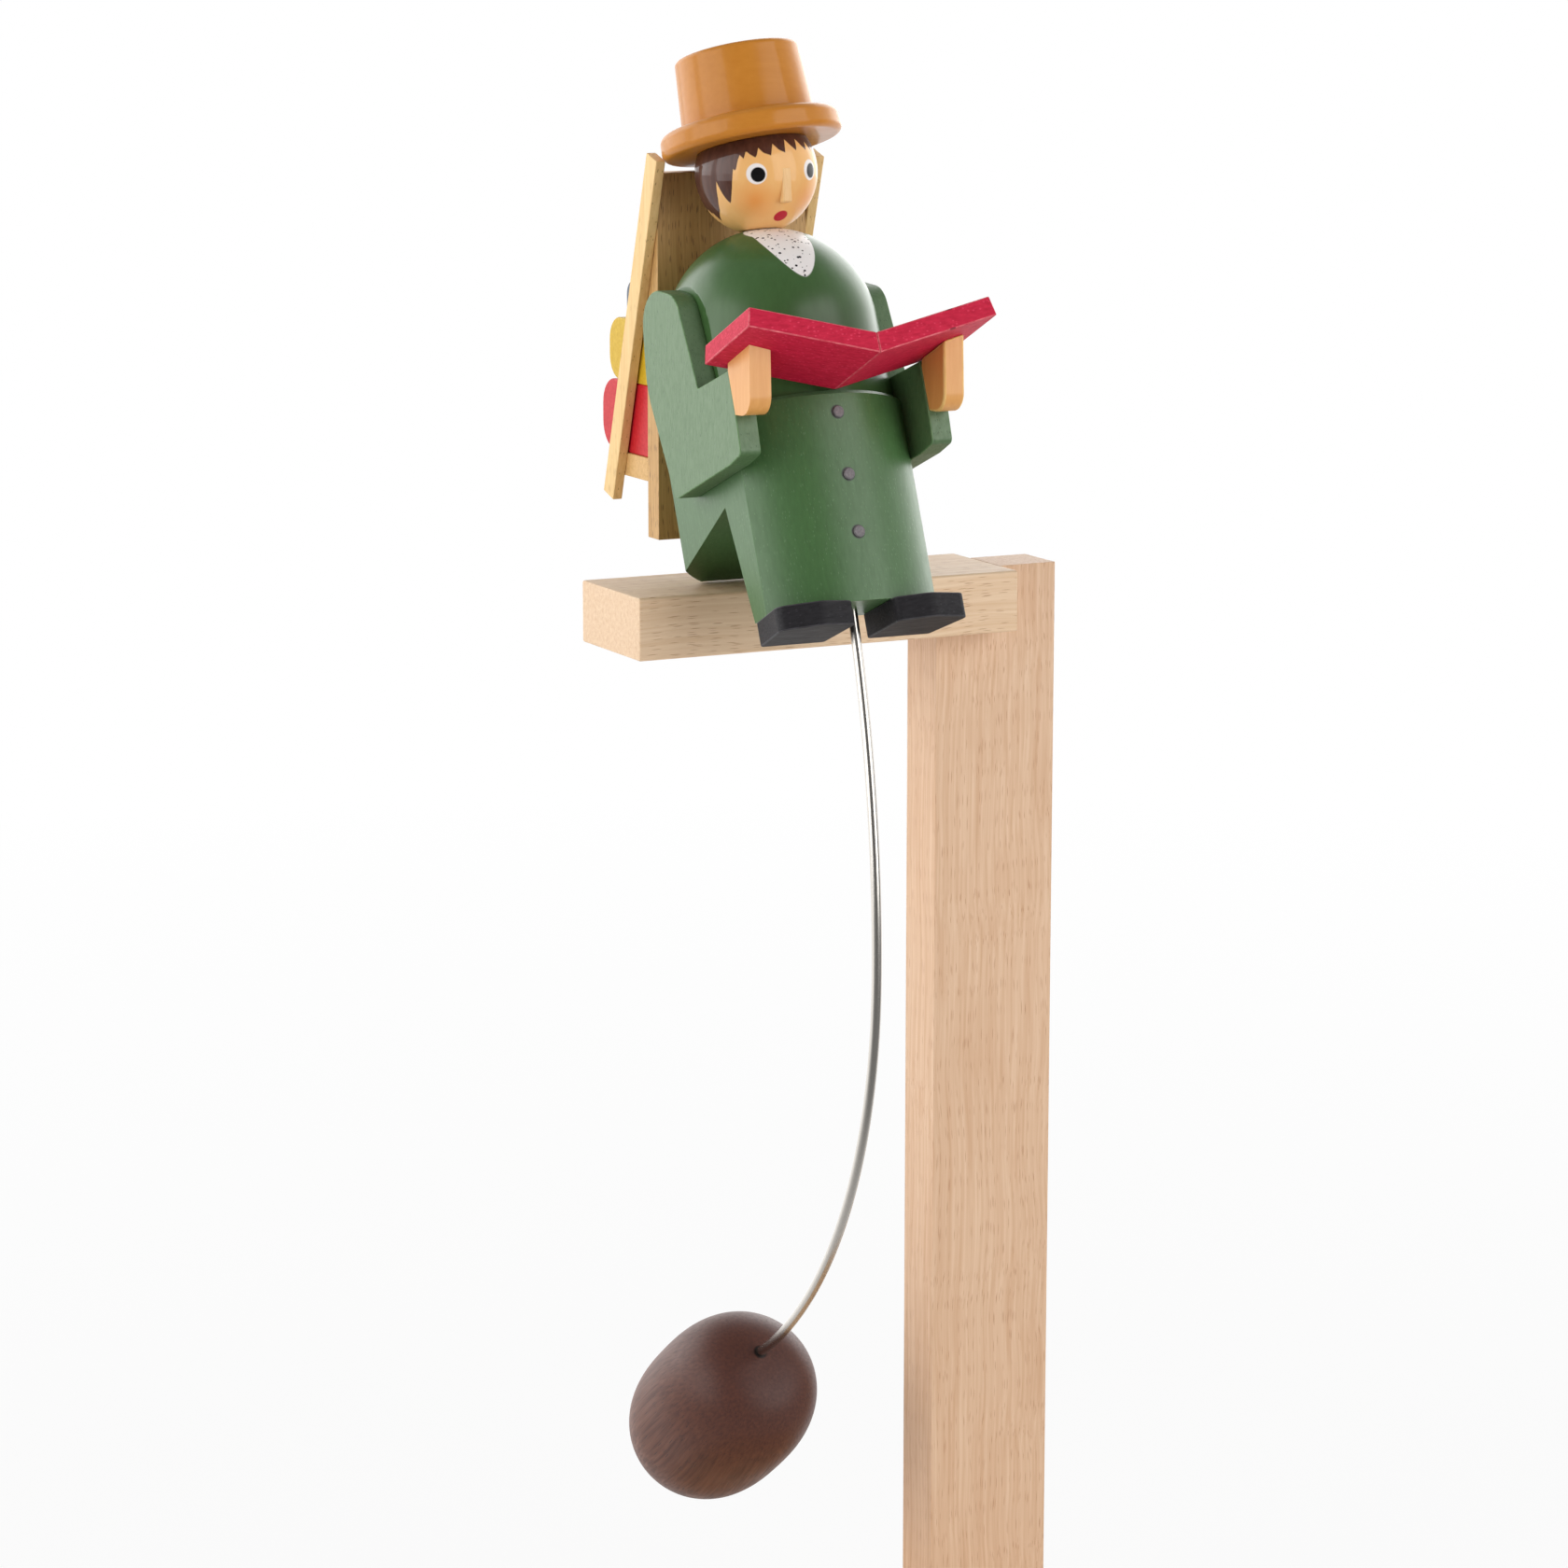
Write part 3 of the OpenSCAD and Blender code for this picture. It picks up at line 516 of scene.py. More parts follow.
def spot(azimuth, elevation, radius, soft=0.12, squeeze=(1, 1, 1), tilt=0.0):
    """1 inside a round or oval spot painted on the head, radius in mm"""
    painted = skin.node_tree
    away = vector_of(painted, "SUBTRACT", on_head, tuple(on_ball(azimuth, elevation)))
    tilted = put(painted, "ShaderNodeMapping", {"Vector": away, "Rotation": (0, math.radians(tilt), 0)})
    far = length_of(painted, vector_of(painted, "MULTIPLY", tilted.outputs[0], squeeze))
    return between(painted, far, (radius + soft) * mm, (radius - soft) * mm)


# Azimuths and elevations on the face are in degrees
FACE_MIDDLE = 4.4
CHEEK_ASIDE, CHEEK_UP = 32, -24
CHEEK_STRENGTH = 0.75
EYE_ASIDE = 30
EYE_UP = {-1: 2.2, 1: 4.2}
PUPIL_ASIDE, PUPIL_UP = 1.4, -0.8
MOUTH_ASIDE, MOUTH_UP = 1.5, -41.5
for side in (-1, 1):
    cheek = spot(FACE_MIDDLE + side * CHEEK_ASIDE, CHEEK_UP, radius=3.2, soft=2.6)
    paint_over(skin, math_of(tree, "MULTIPLY", cheek, CHEEK_STRENGTH), colour(232, 150, 72))
for side in (-1, 1):
    eye, raised = FACE_MIDDLE + side * EYE_ASIDE, EYE_UP[side]
    paint_over(skin, spot(eye, raised, radius=2.36), colour(238, 234, 232))
    paint_over(skin, spot(eye + PUPIL_ASIDE, raised + PUPIL_UP, radius=1.68), colour(10, 7, 9))
mouth = spot(FACE_MIDDLE + MOUTH_ASIDE, MOUTH_UP, radius=1.62, squeeze=(0.95, 1, 0.95), tilt=14)
paint_over(skin, mouth, colour(184, 12, 44))

# The hair's lower border: azimuth from straight ahead and elevation, in degrees
FRINGE = [
    (-180, -44), (-150, -47), (-143, -36), (-128, -44), (-120, -31), (-108, -44), (-101, -35),
    (-94, -43), (-92, -38), (-84.7, -50), (-78, -42), (-71.4, -35), (-67.1, -21), (-66.5, -5),
    (-65, -8), (-60.9, -16.5), (-56.9, -23), (-52.8, -27), (-50.2, -16), (-49.1, -10), (-48.6, 7),
    (-45.4, 4.2), (-43.9, 11), (-43.2, 20), (-37.6, 15.6), (-36.4, 23.4), (-32.1, 20), (-25.7, 16.6),
    (-24.3, 26.8), (-18.8, 21.6), (-10.8, 18.8), (-9, 31), (-2.4, 24.4), (4.2, 21.3), (6.6, 35),
    (13, 28), (18.8, 22.6), (22.5, 34.5), (29, 27), (34.6, 22.4), (38, 31), (45, 21), (47.5, 27),
    (53, 14), (55, 24), (58.5, 3), (60, 8), (63, -22), (67, -27), (71, -16), (75, -5), (77, -30),
    (86, -42), (93, -50), (96, -38), (101, -44), (104, -36), (115, -45), (122, -33), (133, -45),
    (145, -38), (158, -47), (168, -37), (180, -44),
]
BORDER_BLUR = 0.006
axes = axes_of(tree, vector_of(tree, "NORMALIZE", on_head))
azimuth = math_of(tree, "ARCTAN2", axes["X"], math_of(tree, "MULTIPLY", axes["Y"], -1))
elevation = math_of(tree, "DIVIDE", math_of(tree, "ARCSINE", axes["Z"]), math.pi / 2)
border = put(tree, "ShaderNodeFloatCurve", {"Value": between(tree, azimuth, -math.pi, math.pi)})
line = border.mapping.curves[0]
while len(line.points) < len(FRINGE):
    line.points.new(0.5, 0.5)
for point, (across, up) in zip(line.points, FRINGE):
    point.location = ((across + 180) / 360, (up + 90) / 180)
    point.handle_type = "VECTOR"
border.mapping.update()
above = math_of(tree, "SUBTRACT", elevation, between(tree, border.outputs[0], 0, 1, -1, 1))
hair = between(tree, above, -BORDER_BLUR, BORDER_BLUR)
STRANDS_PER_METRE = (900, 900, 60)
strands = noise_at(tree, vector_of(tree, "MULTIPLY", on_head, STRANDS_PER_METRE), detail=3.0)[0]
strands = between(tree, strands, NOISE_LOW, NOISE_HIGH)
paint_over(skin, hair, blended(tree, strands, colour(86, 52, 40), colour(68, 39, 31)))

# The head's foot is sawn level with the torso's neck, and its top is sawn flat for the hat
HAT_ASKEW = 3.9
HAT_BACK = 15.6
HAT_SEAT = (0.8, 0.9, 6)
HAT = HEAD @ turn(-HAT_ASKEW, "Y") @ turn(-HAT_BACK, "X") @ moved(*HAT_SEAT)
half_circle = arc(0, 0, HEAD_RADIUS, -90, 90, steps=72)
head_outline = [(0, -HEAD_RADIUS)] + half_circle[1:-1] + [(0, HEAD_RADIUS)]
head_shape = turned(HEAD, head_outline, steps=144)
sawn(head_shape, at(TORSO, 0, 0, NECK_HEIGHT), TORSO.to_3x3() @ Vector((0, 0, -1)))
sawn(head_shape, HAT.translation, HAT.to_3x3() @ Vector((0, 0, 1)))
finished("head_wood", head_shape, [skin], ["head"])
nose_wood = wood(
    "nose_wood", (238, 196, 136), (230, 184, 120), grain="Z",
    streak=(12, 0.5), rough=(0.4, 0.5), relief=0.008,
)
sanded("nose", [nose_wood], edge_width=0.35, edge_steps=3)

# Figure: hat
# Brim and crown are turned in one piece, lacquered honey ochre and glued on a flat on the head,
# a little askew. The cove between brim and crown and the rolled brim catch the light.
BRIM_RADIUS = 20.95
BRIM_THICKNESS = 5.7
BRIM_ROUND_BELOW = 1.6
BRIM_ROUND_ABOVE = 2
BRIM_SET_IN = 0.1
COVE = 0.6
COVE_OUT, COVE_UP = 0.1, 0.3
CROWN_RADIUS = 15.3
CROWN_TAPER = 0.9
CROWN_ROUND = 1.1
HAT_HEIGHT = 22.1
UNDERSIDE_RING = 12
TOP_RING = 6
ochre = wood(
    "ochre_lacquer", (200, 131, 50), (194, 124, 44), grain="X", streak=(16, 1.6),
    rough=(0.36, 0.4), coat=0.3, coat_rough=0.12, relief=0.003, specular=0.1,
)
above_brim = (BRIM_RADIUS - BRIM_ROUND_ABOVE - BRIM_SET_IN, BRIM_THICKNESS - BRIM_ROUND_ABOVE)
cove_middle = (CROWN_RADIUS + COVE + COVE_OUT, BRIM_THICKNESS + COVE + COVE_UP)
crown_shoulder = (CROWN_RADIUS - CROWN_TAPER - CROWN_ROUND, HAT_HEIGHT - CROWN_ROUND)
hat_outline = (
    [(0, 0), (UNDERSIDE_RING, 0)]
    + arc(BRIM_RADIUS - BRIM_ROUND_BELOW, BRIM_ROUND_BELOW, BRIM_ROUND_BELOW, -90, 0, steps=8)
    + arc(*above_brim, BRIM_ROUND_ABOVE, 10, 84, steps=8)
    + arc(*cove_middle, COVE, -95, -180, steps=5)
    + arc(*crown_shoulder, CROWN_ROUND, 3, 90, steps=7)
    + [(TOP_RING, HAT_HEIGHT), (0, HAT_HEIGHT)]
)
finished("hat_wood", turned(HAT, hat_outline, steps=192), [ochre], ["hat"])

# Figure: arms and hands
# Arms and hands are sawn from thin board with a fretsaw, stained so that the grain shows, and
# glued: arms on the body's flats, hands on the cuffs and under the book. Their arrises are worn pale.
arm_stain = wood(
    "arm_stain", (82, 114, 70), (70, 102, 59), fleck=(58, 88, 48), grain="Z",
    streak=(2.6, 0.7), flecks=(1.4, 0.4, 0.3), rough=(0.48, 0.58), relief=0.035, specular=0.85,
)
arm_edge = wood(
    "arm_edge", (112, 144, 100), (76, 110, 66), grain="Z",
    streak=(4, 0.8), rough=(0.55, 0.65), relief=0.01,
)
hand_stain = wood(
    "skin_stain", (224, 162, 90), (217, 152, 80), grain="Z", streak=(12, 0.9),
    rough=(0.34, 0.4), relief=0.005, specular=0.6,
)
hand_edge = wood(
    "hand_edge", (234, 194, 118), (222, 168, 94), grain="Z",
    streak=(5, 0.8), rough=(0.45, 0.55), relief=0.005,
)
for side in ("right", "left"):
    sanded("arm_" + side, [arm_stain, arm_edge], edge_width=0.3)
    sanded("hand_" + side, [hand_stain, hand_edge], edge_width=0.55, edge_steps=3)

# Figure: book
# Two boards stained raspberry red and glued together at the spine make the open book. The stain
# lies unevenly on the grain and has rubbed off along the edges.
raspberry = wood(
    "raspberry_stain", (210, 26, 66), (183, 8, 50), fleck=(218, 50, 84), grain="X",
    streak=(2.4, 0.7), flecks=(1.1, 0.7, 0.45), rough=(0.55, 0.65), relief=0.02, specular=0.25,
)
raspberry_edge = wood(
    "raspberry_edge", (228, 112, 122), (192, 16, 52), grain="X",
    streak=(2.2, 0.9), rough=(0.55, 0.65), relief=0.01,
)
# Where the two boards meet, the glue line stays dark
GLUE_OUTER, GLUE_INNER = 0.9, 0.6
tree = raspberry_edge.node_tree
from_spine = math_of(tree, "ABSOLUTE", axes_of(tree, on_piece(tree))["X"])
glue_line = between(tree, from_spine, GLUE_OUTER * mm, GLUE_INNER * mm)
paint_over(raspberry_edge, glue_line, colour(128, 8, 34))
for side in ("right", "left"):
    sanded("book_" + side, [raspberry, raspberry_edge], edge_width=0.28)

# Figure: buttons
# Three short dark pegs are glued into holes down the coat's front. One tree sets them, each
# with a chamfered end, square to the coat's turning axis.
BUTTON_DIAMETER = 2.6
BUTTON_LENGTH = 2.6
BUTTON_SUNK = 2
PEG_CHAMFER = 0.2
PEG_SIDES = 48
button_black = wood(
    "button_black", (126, 120, 122), (96, 92, 95), grain="Y",
    streak=(2, 0.5), rough=(0.5, 0.6), relief=0.01,
)


def make_peg_tree():
    """A peg on every point: a cylinder with a short cone as its chamfered end"""
    group, given, out = new_group("GeometryNodeTree", "pegs_on_points", [
        ("INPUT", "Geometry", ["Geometry"]), ("INPUT", "Float", ["Diameter", "Length", "Chamfer"]),
        ("INPUT", "Rotation", ["Direction"]), ("INPUT", "Material", ["Finish"]),
        ("OUTPUT", "Geometry", ["Geometry"]),
    ])

    def raised(part, height):
        shift = put(group, "ShaderNodeCombineXYZ", {"Z": height}).outputs[0]
        geometry = {"Geometry": part.outputs["Mesh"], "Translation": shift}
        return put(group, "GeometryNodeTransform", geometry).outputs[0]

    radius = math_of(group, "MULTIPLY", given["Diameter"], 0.5)
    shank = math_of(group, "SUBTRACT", given["Length"], given["Chamfer"])
    rod = put(group, "GeometryNodeMeshCylinder", {
        "Vertices": PEG_SIDES, "Radius": radius, "Depth": shank,
    }, fill_type="NGON")
    tip = put(group, "GeometryNodeMeshCone", {
        "Vertices": PEG_SIDES, "Radius Bottom": radius, "Depth": given["Chamfer"],
        "Radius Top": math_of(group, "SUBTRACT", radius, given["Chamfer"]),
    }, fill_type="NGON")
    both = put(group, "GeometryNodeJoinGeometry")
    group.links.new(raised(rod, math_of(group, "MULTIPLY", shank, 0.5)), both.inputs[0])
    group.links.new(raised(tip, shank), both.inputs[0])
    set_out = put(group, "GeometryNodeInstanceOnPoints", {
        "Points": given["Geometry"], "Instance": both.outputs[0], "Rotation": given["Direction"],
    })
    real = put(group, "GeometryNodeRealizeInstances", {"Geometry": set_out.outputs[0]})
    done = put(group, "GeometryNodeSetMaterial", {"Geometry": real.outputs[0], "Material": given["Finish"]})
    group.links.new(done.outputs[0], out["Geometry"])
    return group


def grown(name, points, lines, tree, values):
    """What a tree makes on points and lines, as a closed bmesh without faces inside it"""
    guide = bpy.data.meshes.new(name + "_guide")
    guide.from_pydata(points, lines, [])
    piece = placed(name + "_guide", guide)
    modifier = piece.modifiers.new(name, "NODES")
    modifier.node_group = tree
    for socket in tree.interface.items_tree:
        if socket.in_out == "INPUT" and socket.name in values:
            modifier[socket.identifier] = values[socket.name]
    shape = taken_from(piece)
    bmesh.ops.remove_doubles(shape, verts=shape.verts, dist=SAME_POINT)
    inside = [f for f in shape.faces if all(len(e.link_faces) > 2 for e in f.edges)]
    bmesh.ops.delete(shape, geom=inside, context="FACES_ONLY")
    bmesh.ops.recalc_face_normals(shape, faces=shape.faces)
    return shape


PEG_TREE = make_peg_tree()


def pegs(name, places, direction, diameter, length, finish, node):
    """Pegs that start at places in metres and point along a direction, sizes in mm"""
    values = {
        "Diameter": diameter * mm, "Length": length * mm, "Chamfer": PEG_CHAMFER * mm,
        "Direction": direction.to_track_quat("Z", "Y").to_euler(), "Finish": finish,
    }
    finished(name, grown(name, places, [], PEG_TREE, values), [finish], [node])


button_holes = [at(COAT, 0, BUTTON_SUNK - COAT_RADIUS, height) for height in BUTTONS]
pegs("coat_buttons", button_holes, COAT.to_3x3() @ Vector((0, -1, 0)), BUTTON_DIAMETER, BUTTON_LENGTH,
     button_black, "buttons")

# Figure: shoes
# The shoes are sawn from thin board and glued under the coat's lower end. They are stained
# black, and their arrises are rubbed grey.
shoe_black = wood(
    "shoe_black", (30, 28, 32), (20, 18, 22), fleck=(44, 42, 46), grain="X",
    streak=(7, 0.6), flecks=(2, 0.4, 0.3), rough=(0.6, 0.75), relief=0.03, specular=0.3,
)
shoe_edge = wood(
    "shoe_edge", (64, 62, 66), (40, 38, 42), grain="X",
    streak=(3, 0.8), rough=(0.6, 0.7), relief=0.01,
)
for side in ("right", "left"):
    sanded("shoe_" + side, [shoe_black, shoe_edge], edge_width=0.3)

# Pendulum: wire
# One length of polished steel wire is bent to two arcs and glued into the coat and the ball.
# A tree sweeps its round section along the path.
WIRE_DIAMETER = 2.3
WIRE_SIDES = 32
WIRE_AHEAD = 18.6
WIRE_LEAN = 4
UPPER_BEND, UPPER_TURN = 257, 18.85
LOWER_BEND, LOWER_TURN = 124, 57.9
IN_COAT = 3
IN_BALL = 11
WIRE = COAT @ moved(0, -WIRE_AHEAD, COAT_FOOT) @ turn(WIRE_LEAN, "X") @ turn(180, "Y")


def bend(start, radius, degrees, steps):
    """Points of a bend with their headings, from a point (towards Y, along Z, heading), in mm"""
    y, z, heading = start
    found = []
    for i in range(1, steps + 1):
        now = heading + math.radians(degrees) * i / steps
        to_y = y + radius * (math.cos(heading) - math.cos(now))
        to_z = z + radius * (math.sin(now) - math.sin(heading))
        found.append((to_y, to_z, now))
    return found


def make_rod_tree():
    """A round rod along a line"""
    group, given, out = new_group("GeometryNodeTree", "rod_on_path", [
        ("INPUT", "Geometry", ["Geometry"]), ("INPUT", "Float", ["Diameter"]),
        ("INPUT", "Material", ["Finish"]), ("OUTPUT", "Geometry", ["Geometry"]),
    ])
    middle_line = put(group, "GeometryNodeMeshToCurve", {"Mesh": given["Geometry"]})
    section = put(group, "GeometryNodeCurvePrimitiveCircle", {
        "Resolution": WIRE_SIDES, "Radius": math_of(group, "MULTIPLY", given["Diameter"], 0.5),
    })
    rod = put(group, "GeometryNodeCurveToMesh", {
        "Curve": middle_line.outputs[0], "Profile Curve": section.outputs[0], "Fill Caps": True,
    })
    real = put(group, "GeometryNodeRealizeInstances", {"Geometry": rod.outputs[0]})
    done = put(group, "GeometryNodeSetMaterial", {"Geometry": real.outputs[0], "Material": given["Finish"]})
    group.links.new(done.outputs[0], out["Geometry"])
    return group


def metal(name, pale, deep, rough, marks_per_metre, detail):
    """A bare metal whose shade and roughness vary, with so many marks along X, Y and Z"""
    material = bpy.data.materials.new(name)
    material.use_nodes = True
    tree = material.node_tree
    face = tree.nodes["Principled BSDF"]
    marks = noise_at(tree, vector_of(tree, "MULTIPLY", on_piece(tree), marks_per_metre), detail=detail)[0]
    tree.links.new(blended(tree, marks, colour(*pale), colour(*deep)), face.inputs["Base Color"])
    tree.links.new(between(tree, marks, 0, 1, *rough), face.inputs["Roughness"])
    face.inputs["Metallic"].default_value = 1.0
    return material


upper = bend((0, 0, 0), UPPER_BEND, UPPER_TURN, steps=32)
lower = bend(upper[-1], LOWER_BEND, LOWER_TURN, steps=60)
end_y, end_z, end_heading = lower[-1]
path = [(0, -IN_COAT), (0, 0)] + [(y, z) for y, z, heading in upper + lower]
path.append((end_y + IN_BALL * math.sin(end_heading), end_z + IN_BALL * math.cos(end_heading)))
steel = metal(
    "polished_steel", (208, 204, 198), (186, 181, 174), rough=(0.16, 0.28),
    marks_per_metre=(4000, 4000, 60), detail=2.0,
)
wire_points = [at(WIRE, 0, y, z) for y, z in path]
wire_lines = [(i, i + 1) for i in range(len(path) - 1)]
wire_shape = grown("pendulum_wire_rod", wire_points, wire_lines, make_rod_tree(), {
    "Diameter": WIRE_DIAMETER * mm, "Finish": steel,
})
finished("pendulum_wire_rod", wire_shape, [steel], ["pendulum_wire"])

# Pendulum: ball
# The ball is turned from dark wood, a little longer than thick and blunt at both ends, stained
# and polished. A metal slug sits in it behind a plug at its far end.
BALL_RADIUS = 20
BALL_LENGTH = 58.5
BLUNTNESS = 2.8
BALL_TURN = 5.25
BALL_LEAN = COAT_LEAN - WIRE_LEAN + BALL_TURN - UPPER_TURN - LOWER_TURN
HOLE_OFF = 3.5
OUTLINE_STEPS = 120
PLUG_RADIUS = 5
PLUG_DEPTH = 6
PLUG_GAP = 0.05
SLUG_GAP = 0.1
PLUG_CHAMFER, CHAMFER_DEPTH = 0.2, 0.15
PLUG_PROUD = 0.02
BORE_RIM = 0.3


def rise(radius):
    """How far the ball's outline rises from its pole out to a radius"""
    return BALL_LENGTH / 2 * (1 - (1 - (radius / BALL_RADIUS) ** BLUNTNESS) ** (1 / BLUNTNESS))


def ball_point(turned_by):
    """A point of the ball's half outline, from the wire's pole at 0 to the far pole at 180"""
    a = math.radians(turned_by)
    along = math.copysign(abs(math.cos(a)) ** (2 / BLUNTNESS), math.cos(a))
    return (BALL_RADIUS * math.sin(a) ** (2 / BLUNTNESS), BALL_LENGTH / 2 * (1 - along))


BALL = WIRE @ moved(0, end_y, end_z) @ turn(BALL_TURN - math.degrees(end_heading), "X")
BALL = BALL @ moved(0, -HOLE_OFF, -rise(HOLE_OFF))
walnut = wood(
    "walnut_stain", (112, 67, 47), (74, 42, 32), fleck=(54, 31, 25), grain="Z", lean=BALL_LEAN,
    streak=(26, 0.7), flecks=(5, 0.35, 0.25), rough=(0.4, 0.5), relief=0.02, specular=0.25,
)
# Painted shade: the ball is darkened towards the wire's hole at its upper end, where less light falls, and
# a dark ring of painted shade lies in the gap round the wire
tree = walnut.node_tree
hole = at(WIRE, 0, end_y, end_z)
paint_over(walnut, disc(tree, hole, outer=44, inner=10, strength=0.65), colour(70, 44, 42))
paint_over(walnut, disc(tree, hole, outer=1.9, inner=1.4), colour(26, 16, 14))

bore_radius = PLUG_RADIUS + PLUG_GAP
bore_top = BALL_LENGTH - rise(PLUG_RADIUS)
bore_foot = BALL_LENGTH - PLUG_DEPTH
plug_foot = bore_foot + SLUG_GAP
round_part = [ball_point(180 * i / OUTLINE_STEPS) for i in range(1, OUTLINE_STEPS)]
round_part = [p for p in round_part if p[1] < BALL_LENGTH / 2 or p[0] > PLUG_RADIUS + BORE_RIM]
ball_outline = [(0, 0)] + round_part + [(bore_radius, bore_top), (bore_radius, bore_foot), (0, bore_foot)]
plug_outline = [
    (0, plug_foot), (PLUG_RADIUS, plug_foot), (PLUG_RADIUS, bore_top - CHAMFER_DEPTH),
    (PLUG_RADIUS - PLUG_CHAMFER, bore_top + PLUG_PROUD),
    (PLUG_RADIUS / 2, BALL_LENGTH - PLUG_PROUD), (0, BALL_LENGTH),
]
ball_shape = turned(BALL, ball_outline, steps=192)
finished("counterweight_ball_wood", ball_shape, [walnut], ["counterweight_ball"])
finished("ball_plug_wood", turned(BALL, plug_outline, steps=64), [walnut], ["ball_plug"])

# Carrying frame
# The frame is a back board pinned to the flat of the torso, two slanting side rails and a shelf,
# all sawn from light wood and stained honey brown, with the grain upright and along the shelf.
PIN_DIAMETER = 4
PIN_LENGTH = 5.6
PIN_HEIGHTS = (42, 58)
PIN_START = BACK_FLAT + 0.5
carrier_wood = wood(
    "carrier_wood", (240, 204, 142), (224, 184, 120), fleck=(160, 118, 66), grain="Z",
    streak=(30, 0.8), flecks=(4, 0.3, 0.14), rough=(0.5, 0.6), relief=0.02,
)
# The back board gets a darker copy of the rails' wood: painted shade for the shadow that the hat and head
# cast on it
board_wood_shaded = wood(
    "board_wood_shaded", (208, 166, 106), (176, 132, 76), fleck=(120, 84, 46), grain="Z",
    streak=(22, 0.6), flecks=(3.5, 0.3, 0.4), rough=(0.5, 0.6), relief=0.02,
)
shelf_wood = wood(
    "shelf_wood", (222, 180, 118), (202, 158, 96), fleck=(160, 118, 66), grain="X",
    streak=(30, 0.8), flecks=(4, 0.35, 0.22), rough=(0.5, 0.6), relief=0.02,
)
dowel_wood = wood(
    "dowel_wood", (214, 182, 134), (186, 150, 100), grain="Y",
    streak=(4, 0.4), rough=(0.5, 0.6), relief=0.02,
)
for node, finish in (
    ("carrier_board", board_wood_shaded), ("carrier_rail_right", carrier_wood),
    ("carrier_rail_left", carrier_wood), ("carrier_shelf", shelf_wood),
):
    sanded(node, [finish], edge_width=0.25)
pins = [at(EDGE, 0, PIN_START, height) for height in PIN_HEIGHTS]
pegs("carrier_pegs_wood", pins, Vector((0, 1, 0)), PIN_DIAMETER, PIN_LENGTH,
     dowel_wood, "carrier_pegs")

# Bundles
# Three lengths of wood rounded behind like rolled blankets are glued in a stack on the shelf,
# lacquered red, yellow and slate grey.
BUNDLE_PAINTS = {
    "red": ((204, 34, 44), (184, 20, 34)),
    "yellow": ((214, 178, 44), (198, 158, 30)),
    "grey": ((98, 108, 122), (80, 90, 104)),
}
for name, (pale, deep) in BUNDLE_PAINTS.items():
    paint = wood(
        "bundle_" + name, pale, deep, grain="X",
        streak=(14, 0.8), rough=(0.4, 0.48), relief=0.008, specular=0.22,
    )
    sanded("bundle_" + name, [paint], edge_width=0.4, edge_steps=3)

# Hidden dowels, pegs, screws and slug
# What holds the pieces together inside: beech dowels, small pegs, zinc plated screws and the
# steel slug. They keep their CAD shapes and get the finish of what they are.
zinc = metal(
    "zinc_plated", (196, 198, 202), (164, 168, 174), rough=(0.3, 0.45),
    marks_per_metre=(900, 900, 900), detail=3.0,
)
for finish, nodes in (
    (zinc, ("foot_screws", "ball_core")),
    (dowel_wood, ("beam_dowel", "waist_dowel", "neck_peg", "hat_peg")),
):
    for node in nodes:
        frame["nodes"][node].data.materials.clear()
        frame["nodes"][node].data.materials.append(finish)

# Floor, light and camera
# A white floor and white surroundings, with a softbox on each side of the camera and two
# weaker ones behind. In mirrors the room is dark on the camera's side and bright behind.
WHITE = (1, 1, 1, 1)
PAPER_GREY = (0.86, 0.86, 0.86, 1)
FLOOR_REACH = 60
FLOOR_DROP = 0.2
floor_mesh = bpy.data.meshes.new("studio_floor")
corners = [(x * FLOOR_REACH, y * FLOOR_REACH, 0) for x, y in ((-1, -1), (1, -1), (1, 1), (-1, 1))]
floor_mesh.from_pydata(corners, [], [(0, 1, 2, 3)])
floor = placed("studio_floor", floor_mesh)
floor.location.z = -FLOOR_DROP * mm
paper = bpy.data.materials.new("studio_paper")
paper.use_nodes = True
tree = paper.node_tree
tree.nodes.clear()
# Within 0.3 m of the toy the paper is partly lit by the lamps, so that it shows a shadow; from
# 1.2 m on it only glows, as white as the room
on_floor = on_piece(tree)
glow_share = between(tree, length_of(tree, on_floor), low=0.3, high=1.2, start=0.86, end=1.0)
in_mirrors = between(tree, axes_of(tree, on_floor)["Y"], low=-0.25, high=0.25, start=0.2, end=1.5)
ray = put(tree, "ShaderNodeLightPath").outputs
strength = math_of(tree, "MULTIPLY", ray["Is Glossy Ray"], in_mirrors)
strength = math_of(tree, "MAXIMUM", strength, ray["Is Camera Ray"])
seen = math_of(tree, "MAXIMUM", ray["Is Camera Ray"], ray["Is Glossy Ray"])
seen = math_of(tree, "MAXIMUM", seen, ray["Is Transmission Ray"])
mix = put(tree, "ShaderNodeMixShader", {
    0: math_of(tree, "MULTIPLY", seen, glow_share),
    1: put(tree, "ShaderNodeBsdfDiffuse", {"Color": PAPER_GREY}).outputs[0],
    2: put(tree, "ShaderNodeEmission", {"Color": WHITE, "Strength": strength}).outputs[0],
})
put(tree, "ShaderNodeOutputMaterial", {"Surface": mix.outputs[0]})
floor_mesh.materials.append(paper)

SEEN_STRENGTH = 1.0
LIGHTING_STRENGTH = 0.24
world = bpy.data.worlds.new("studio")
bpy.context.scene.world = world
world.use_nodes = True
tree = world.node_tree
tree.nodes.clear()


def room(tree, strength):
    """White surroundings of one strength"""
    return put(tree, "ShaderNodeBackground", {"Color": WHITE, "Strength": strength}).outputs[0]


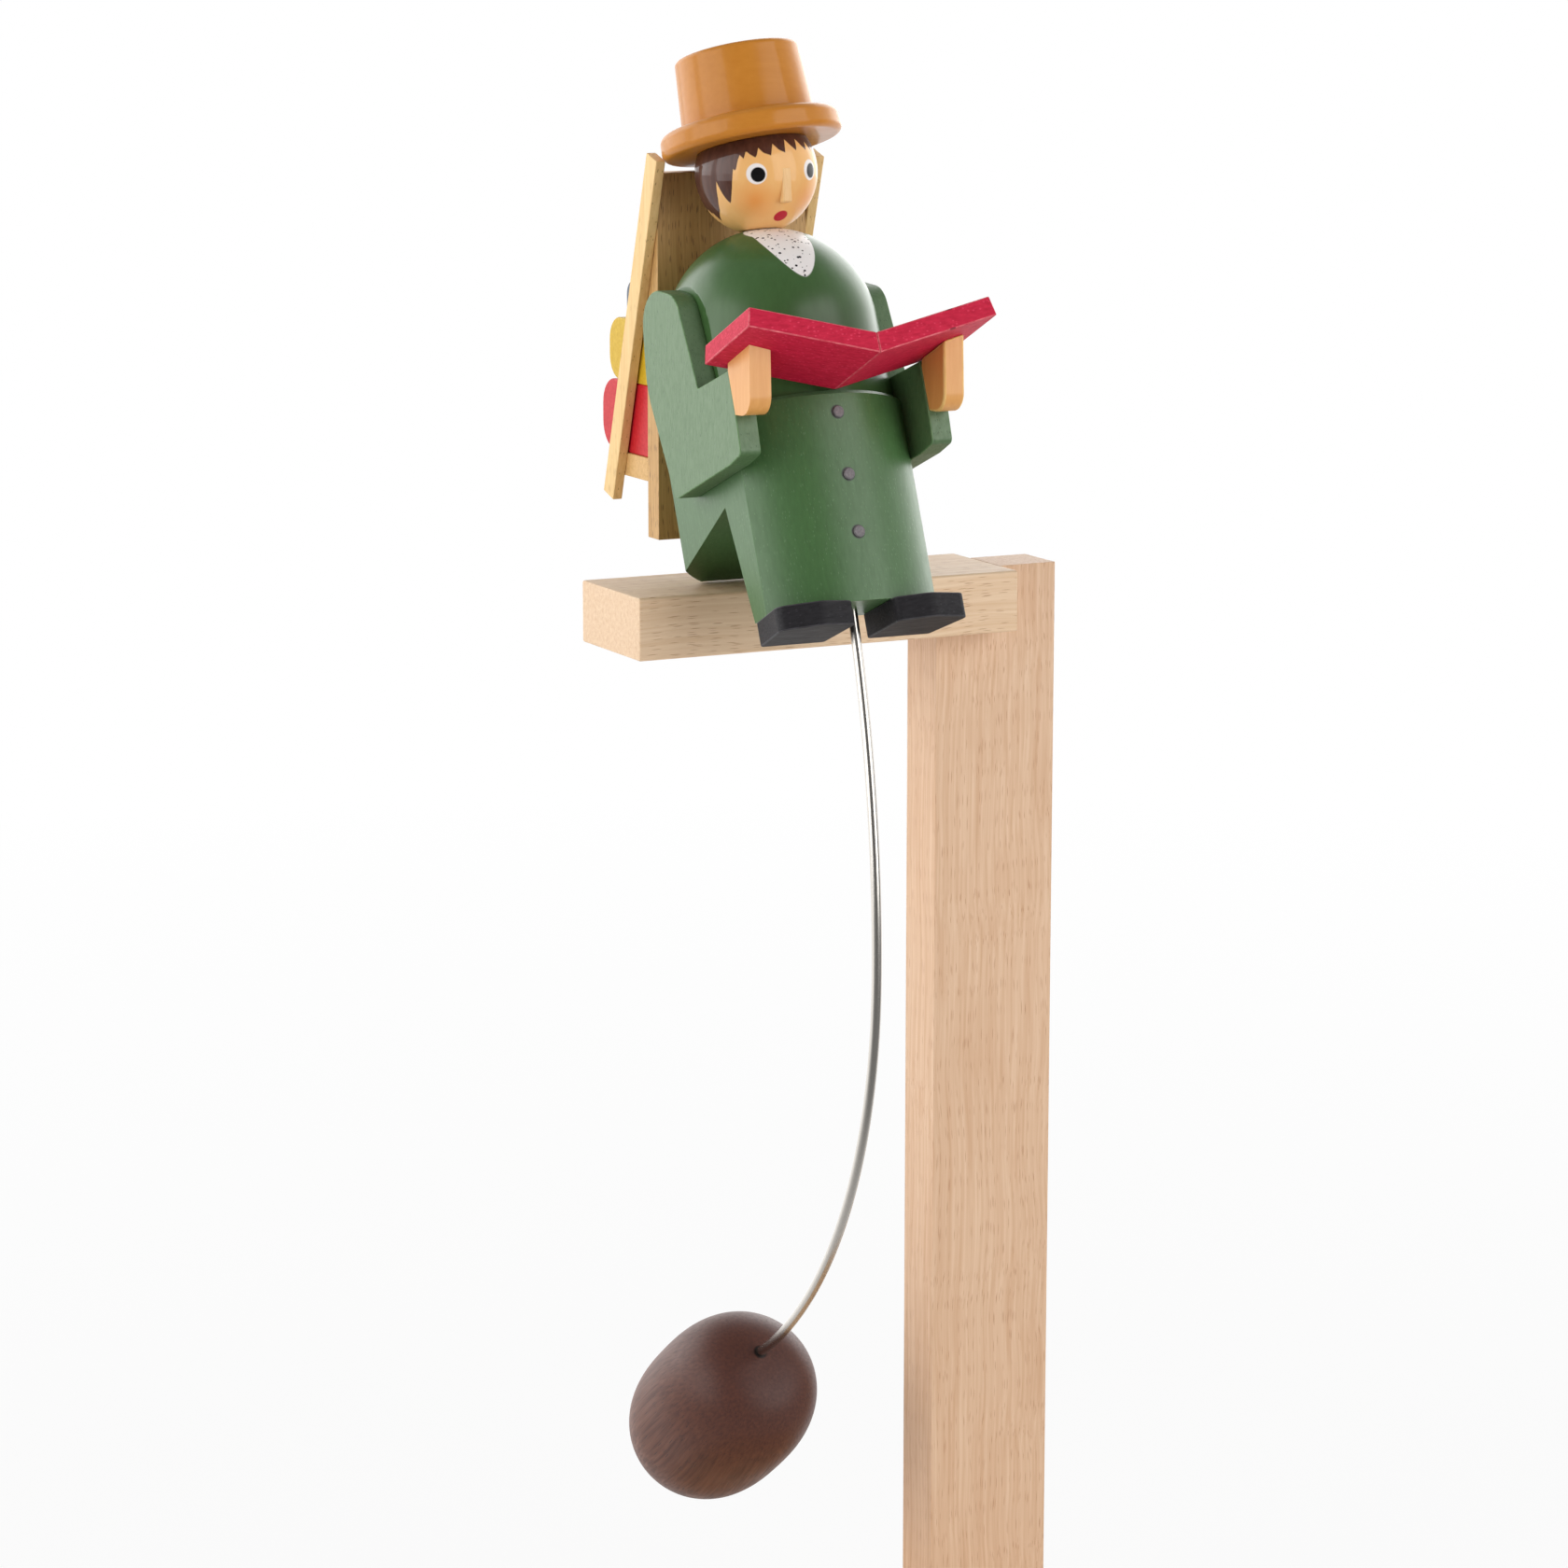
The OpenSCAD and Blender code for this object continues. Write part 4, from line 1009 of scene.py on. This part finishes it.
ray = put(tree, "ShaderNodeLightPath").outputs
towards = axes_of(tree, on_piece(tree))
bright_behind = between(tree, towards["Y"], low=-0.75, high=0.1, start=0.15, end=1.9)
dim_above = between(tree, towards["Z"], low=0.35, high=0.85, start=1.0, end=0.25)
in_mirrors = math_of(tree, "MULTIPLY", bright_behind, dim_above)
mix = put(tree, "ShaderNodeMixShader", {
    0: math_of(tree, "MAXIMUM", ray["Is Glossy Ray"], ray["Is Transmission Ray"]),
    1: room(tree, LIGHTING_STRENGTH), 2: room(tree, in_mirrors),
})
mix = put(tree, "ShaderNodeMixShader", {
    0: ray["Is Camera Ray"], 1: mix.outputs[0], 2: room(tree, SEEN_STRENGTH),
})
put(tree, "ShaderNodeOutputWorld", {"Surface": mix.outputs[0]})

LIT_MIDDLE = Vector((-0.02, 0, 0.33))
SOFTBOX_DISTANCE = 1.5


def softbox(name, direction, width, height, power):
    """A softbox that points at the middle of the figure, sizes in metres and power in watts"""
    lamp = bpy.data.lights.new(name, "AREA")
    lamp.shape = "RECTANGLE"
    lamp.size = width
    lamp.size_y = height
    lamp.energy = power
    made = placed(name, lamp)
    made.location = LIT_MIDDLE + Vector(direction).normalized() * SOFTBOX_DISTANCE
    made.rotation_euler = (LIT_MIDDLE - made.location).to_track_quat("-Z", "Y").to_euler()
    made.visible_camera = False


softbox("softbox_left", (-0.99, -0.12, 0.24), width=1.3, height=1.3, power=12.5)
softbox("softbox_back", (-0.6, 0.75, 0.34), width=1.3, height=1.2, power=10)
softbox("softbox_front", (0.515, -0.857, 0.24), width=1.3, height=1.3, power=15.5)
softbox("softbox_right", (0.8, 0.6, 0.34), width=1.2, height=1.2, power=8)

# The camera's place in mm and its direction in degrees were fitted to the photograph's outlines
CAMERA_PLACE = (-482.89, -946.87, 448.21)
CAMERA_YAW = 26.389
CAMERA_PITCH = -11.111
lens = bpy.data.cameras.new("camera")
lens.lens = 105
lens.sensor_width = 36
lens.clip_start = 0.05
camera = placed("camera", lens)
camera.location = Vector(CAMERA_PLACE) * mm
yaw, pitch = math.radians(CAMERA_YAW), math.radians(CAMERA_PITCH)
forward = Vector((math.sin(yaw) * math.cos(pitch), math.cos(yaw) * math.cos(pitch), math.sin(pitch)))
camera.rotation_euler = forward.to_track_quat("-Z", "Y").to_euler()
bpy.context.scene.camera = camera
bpy.context.scene.view_settings.view_transform = "Standard"
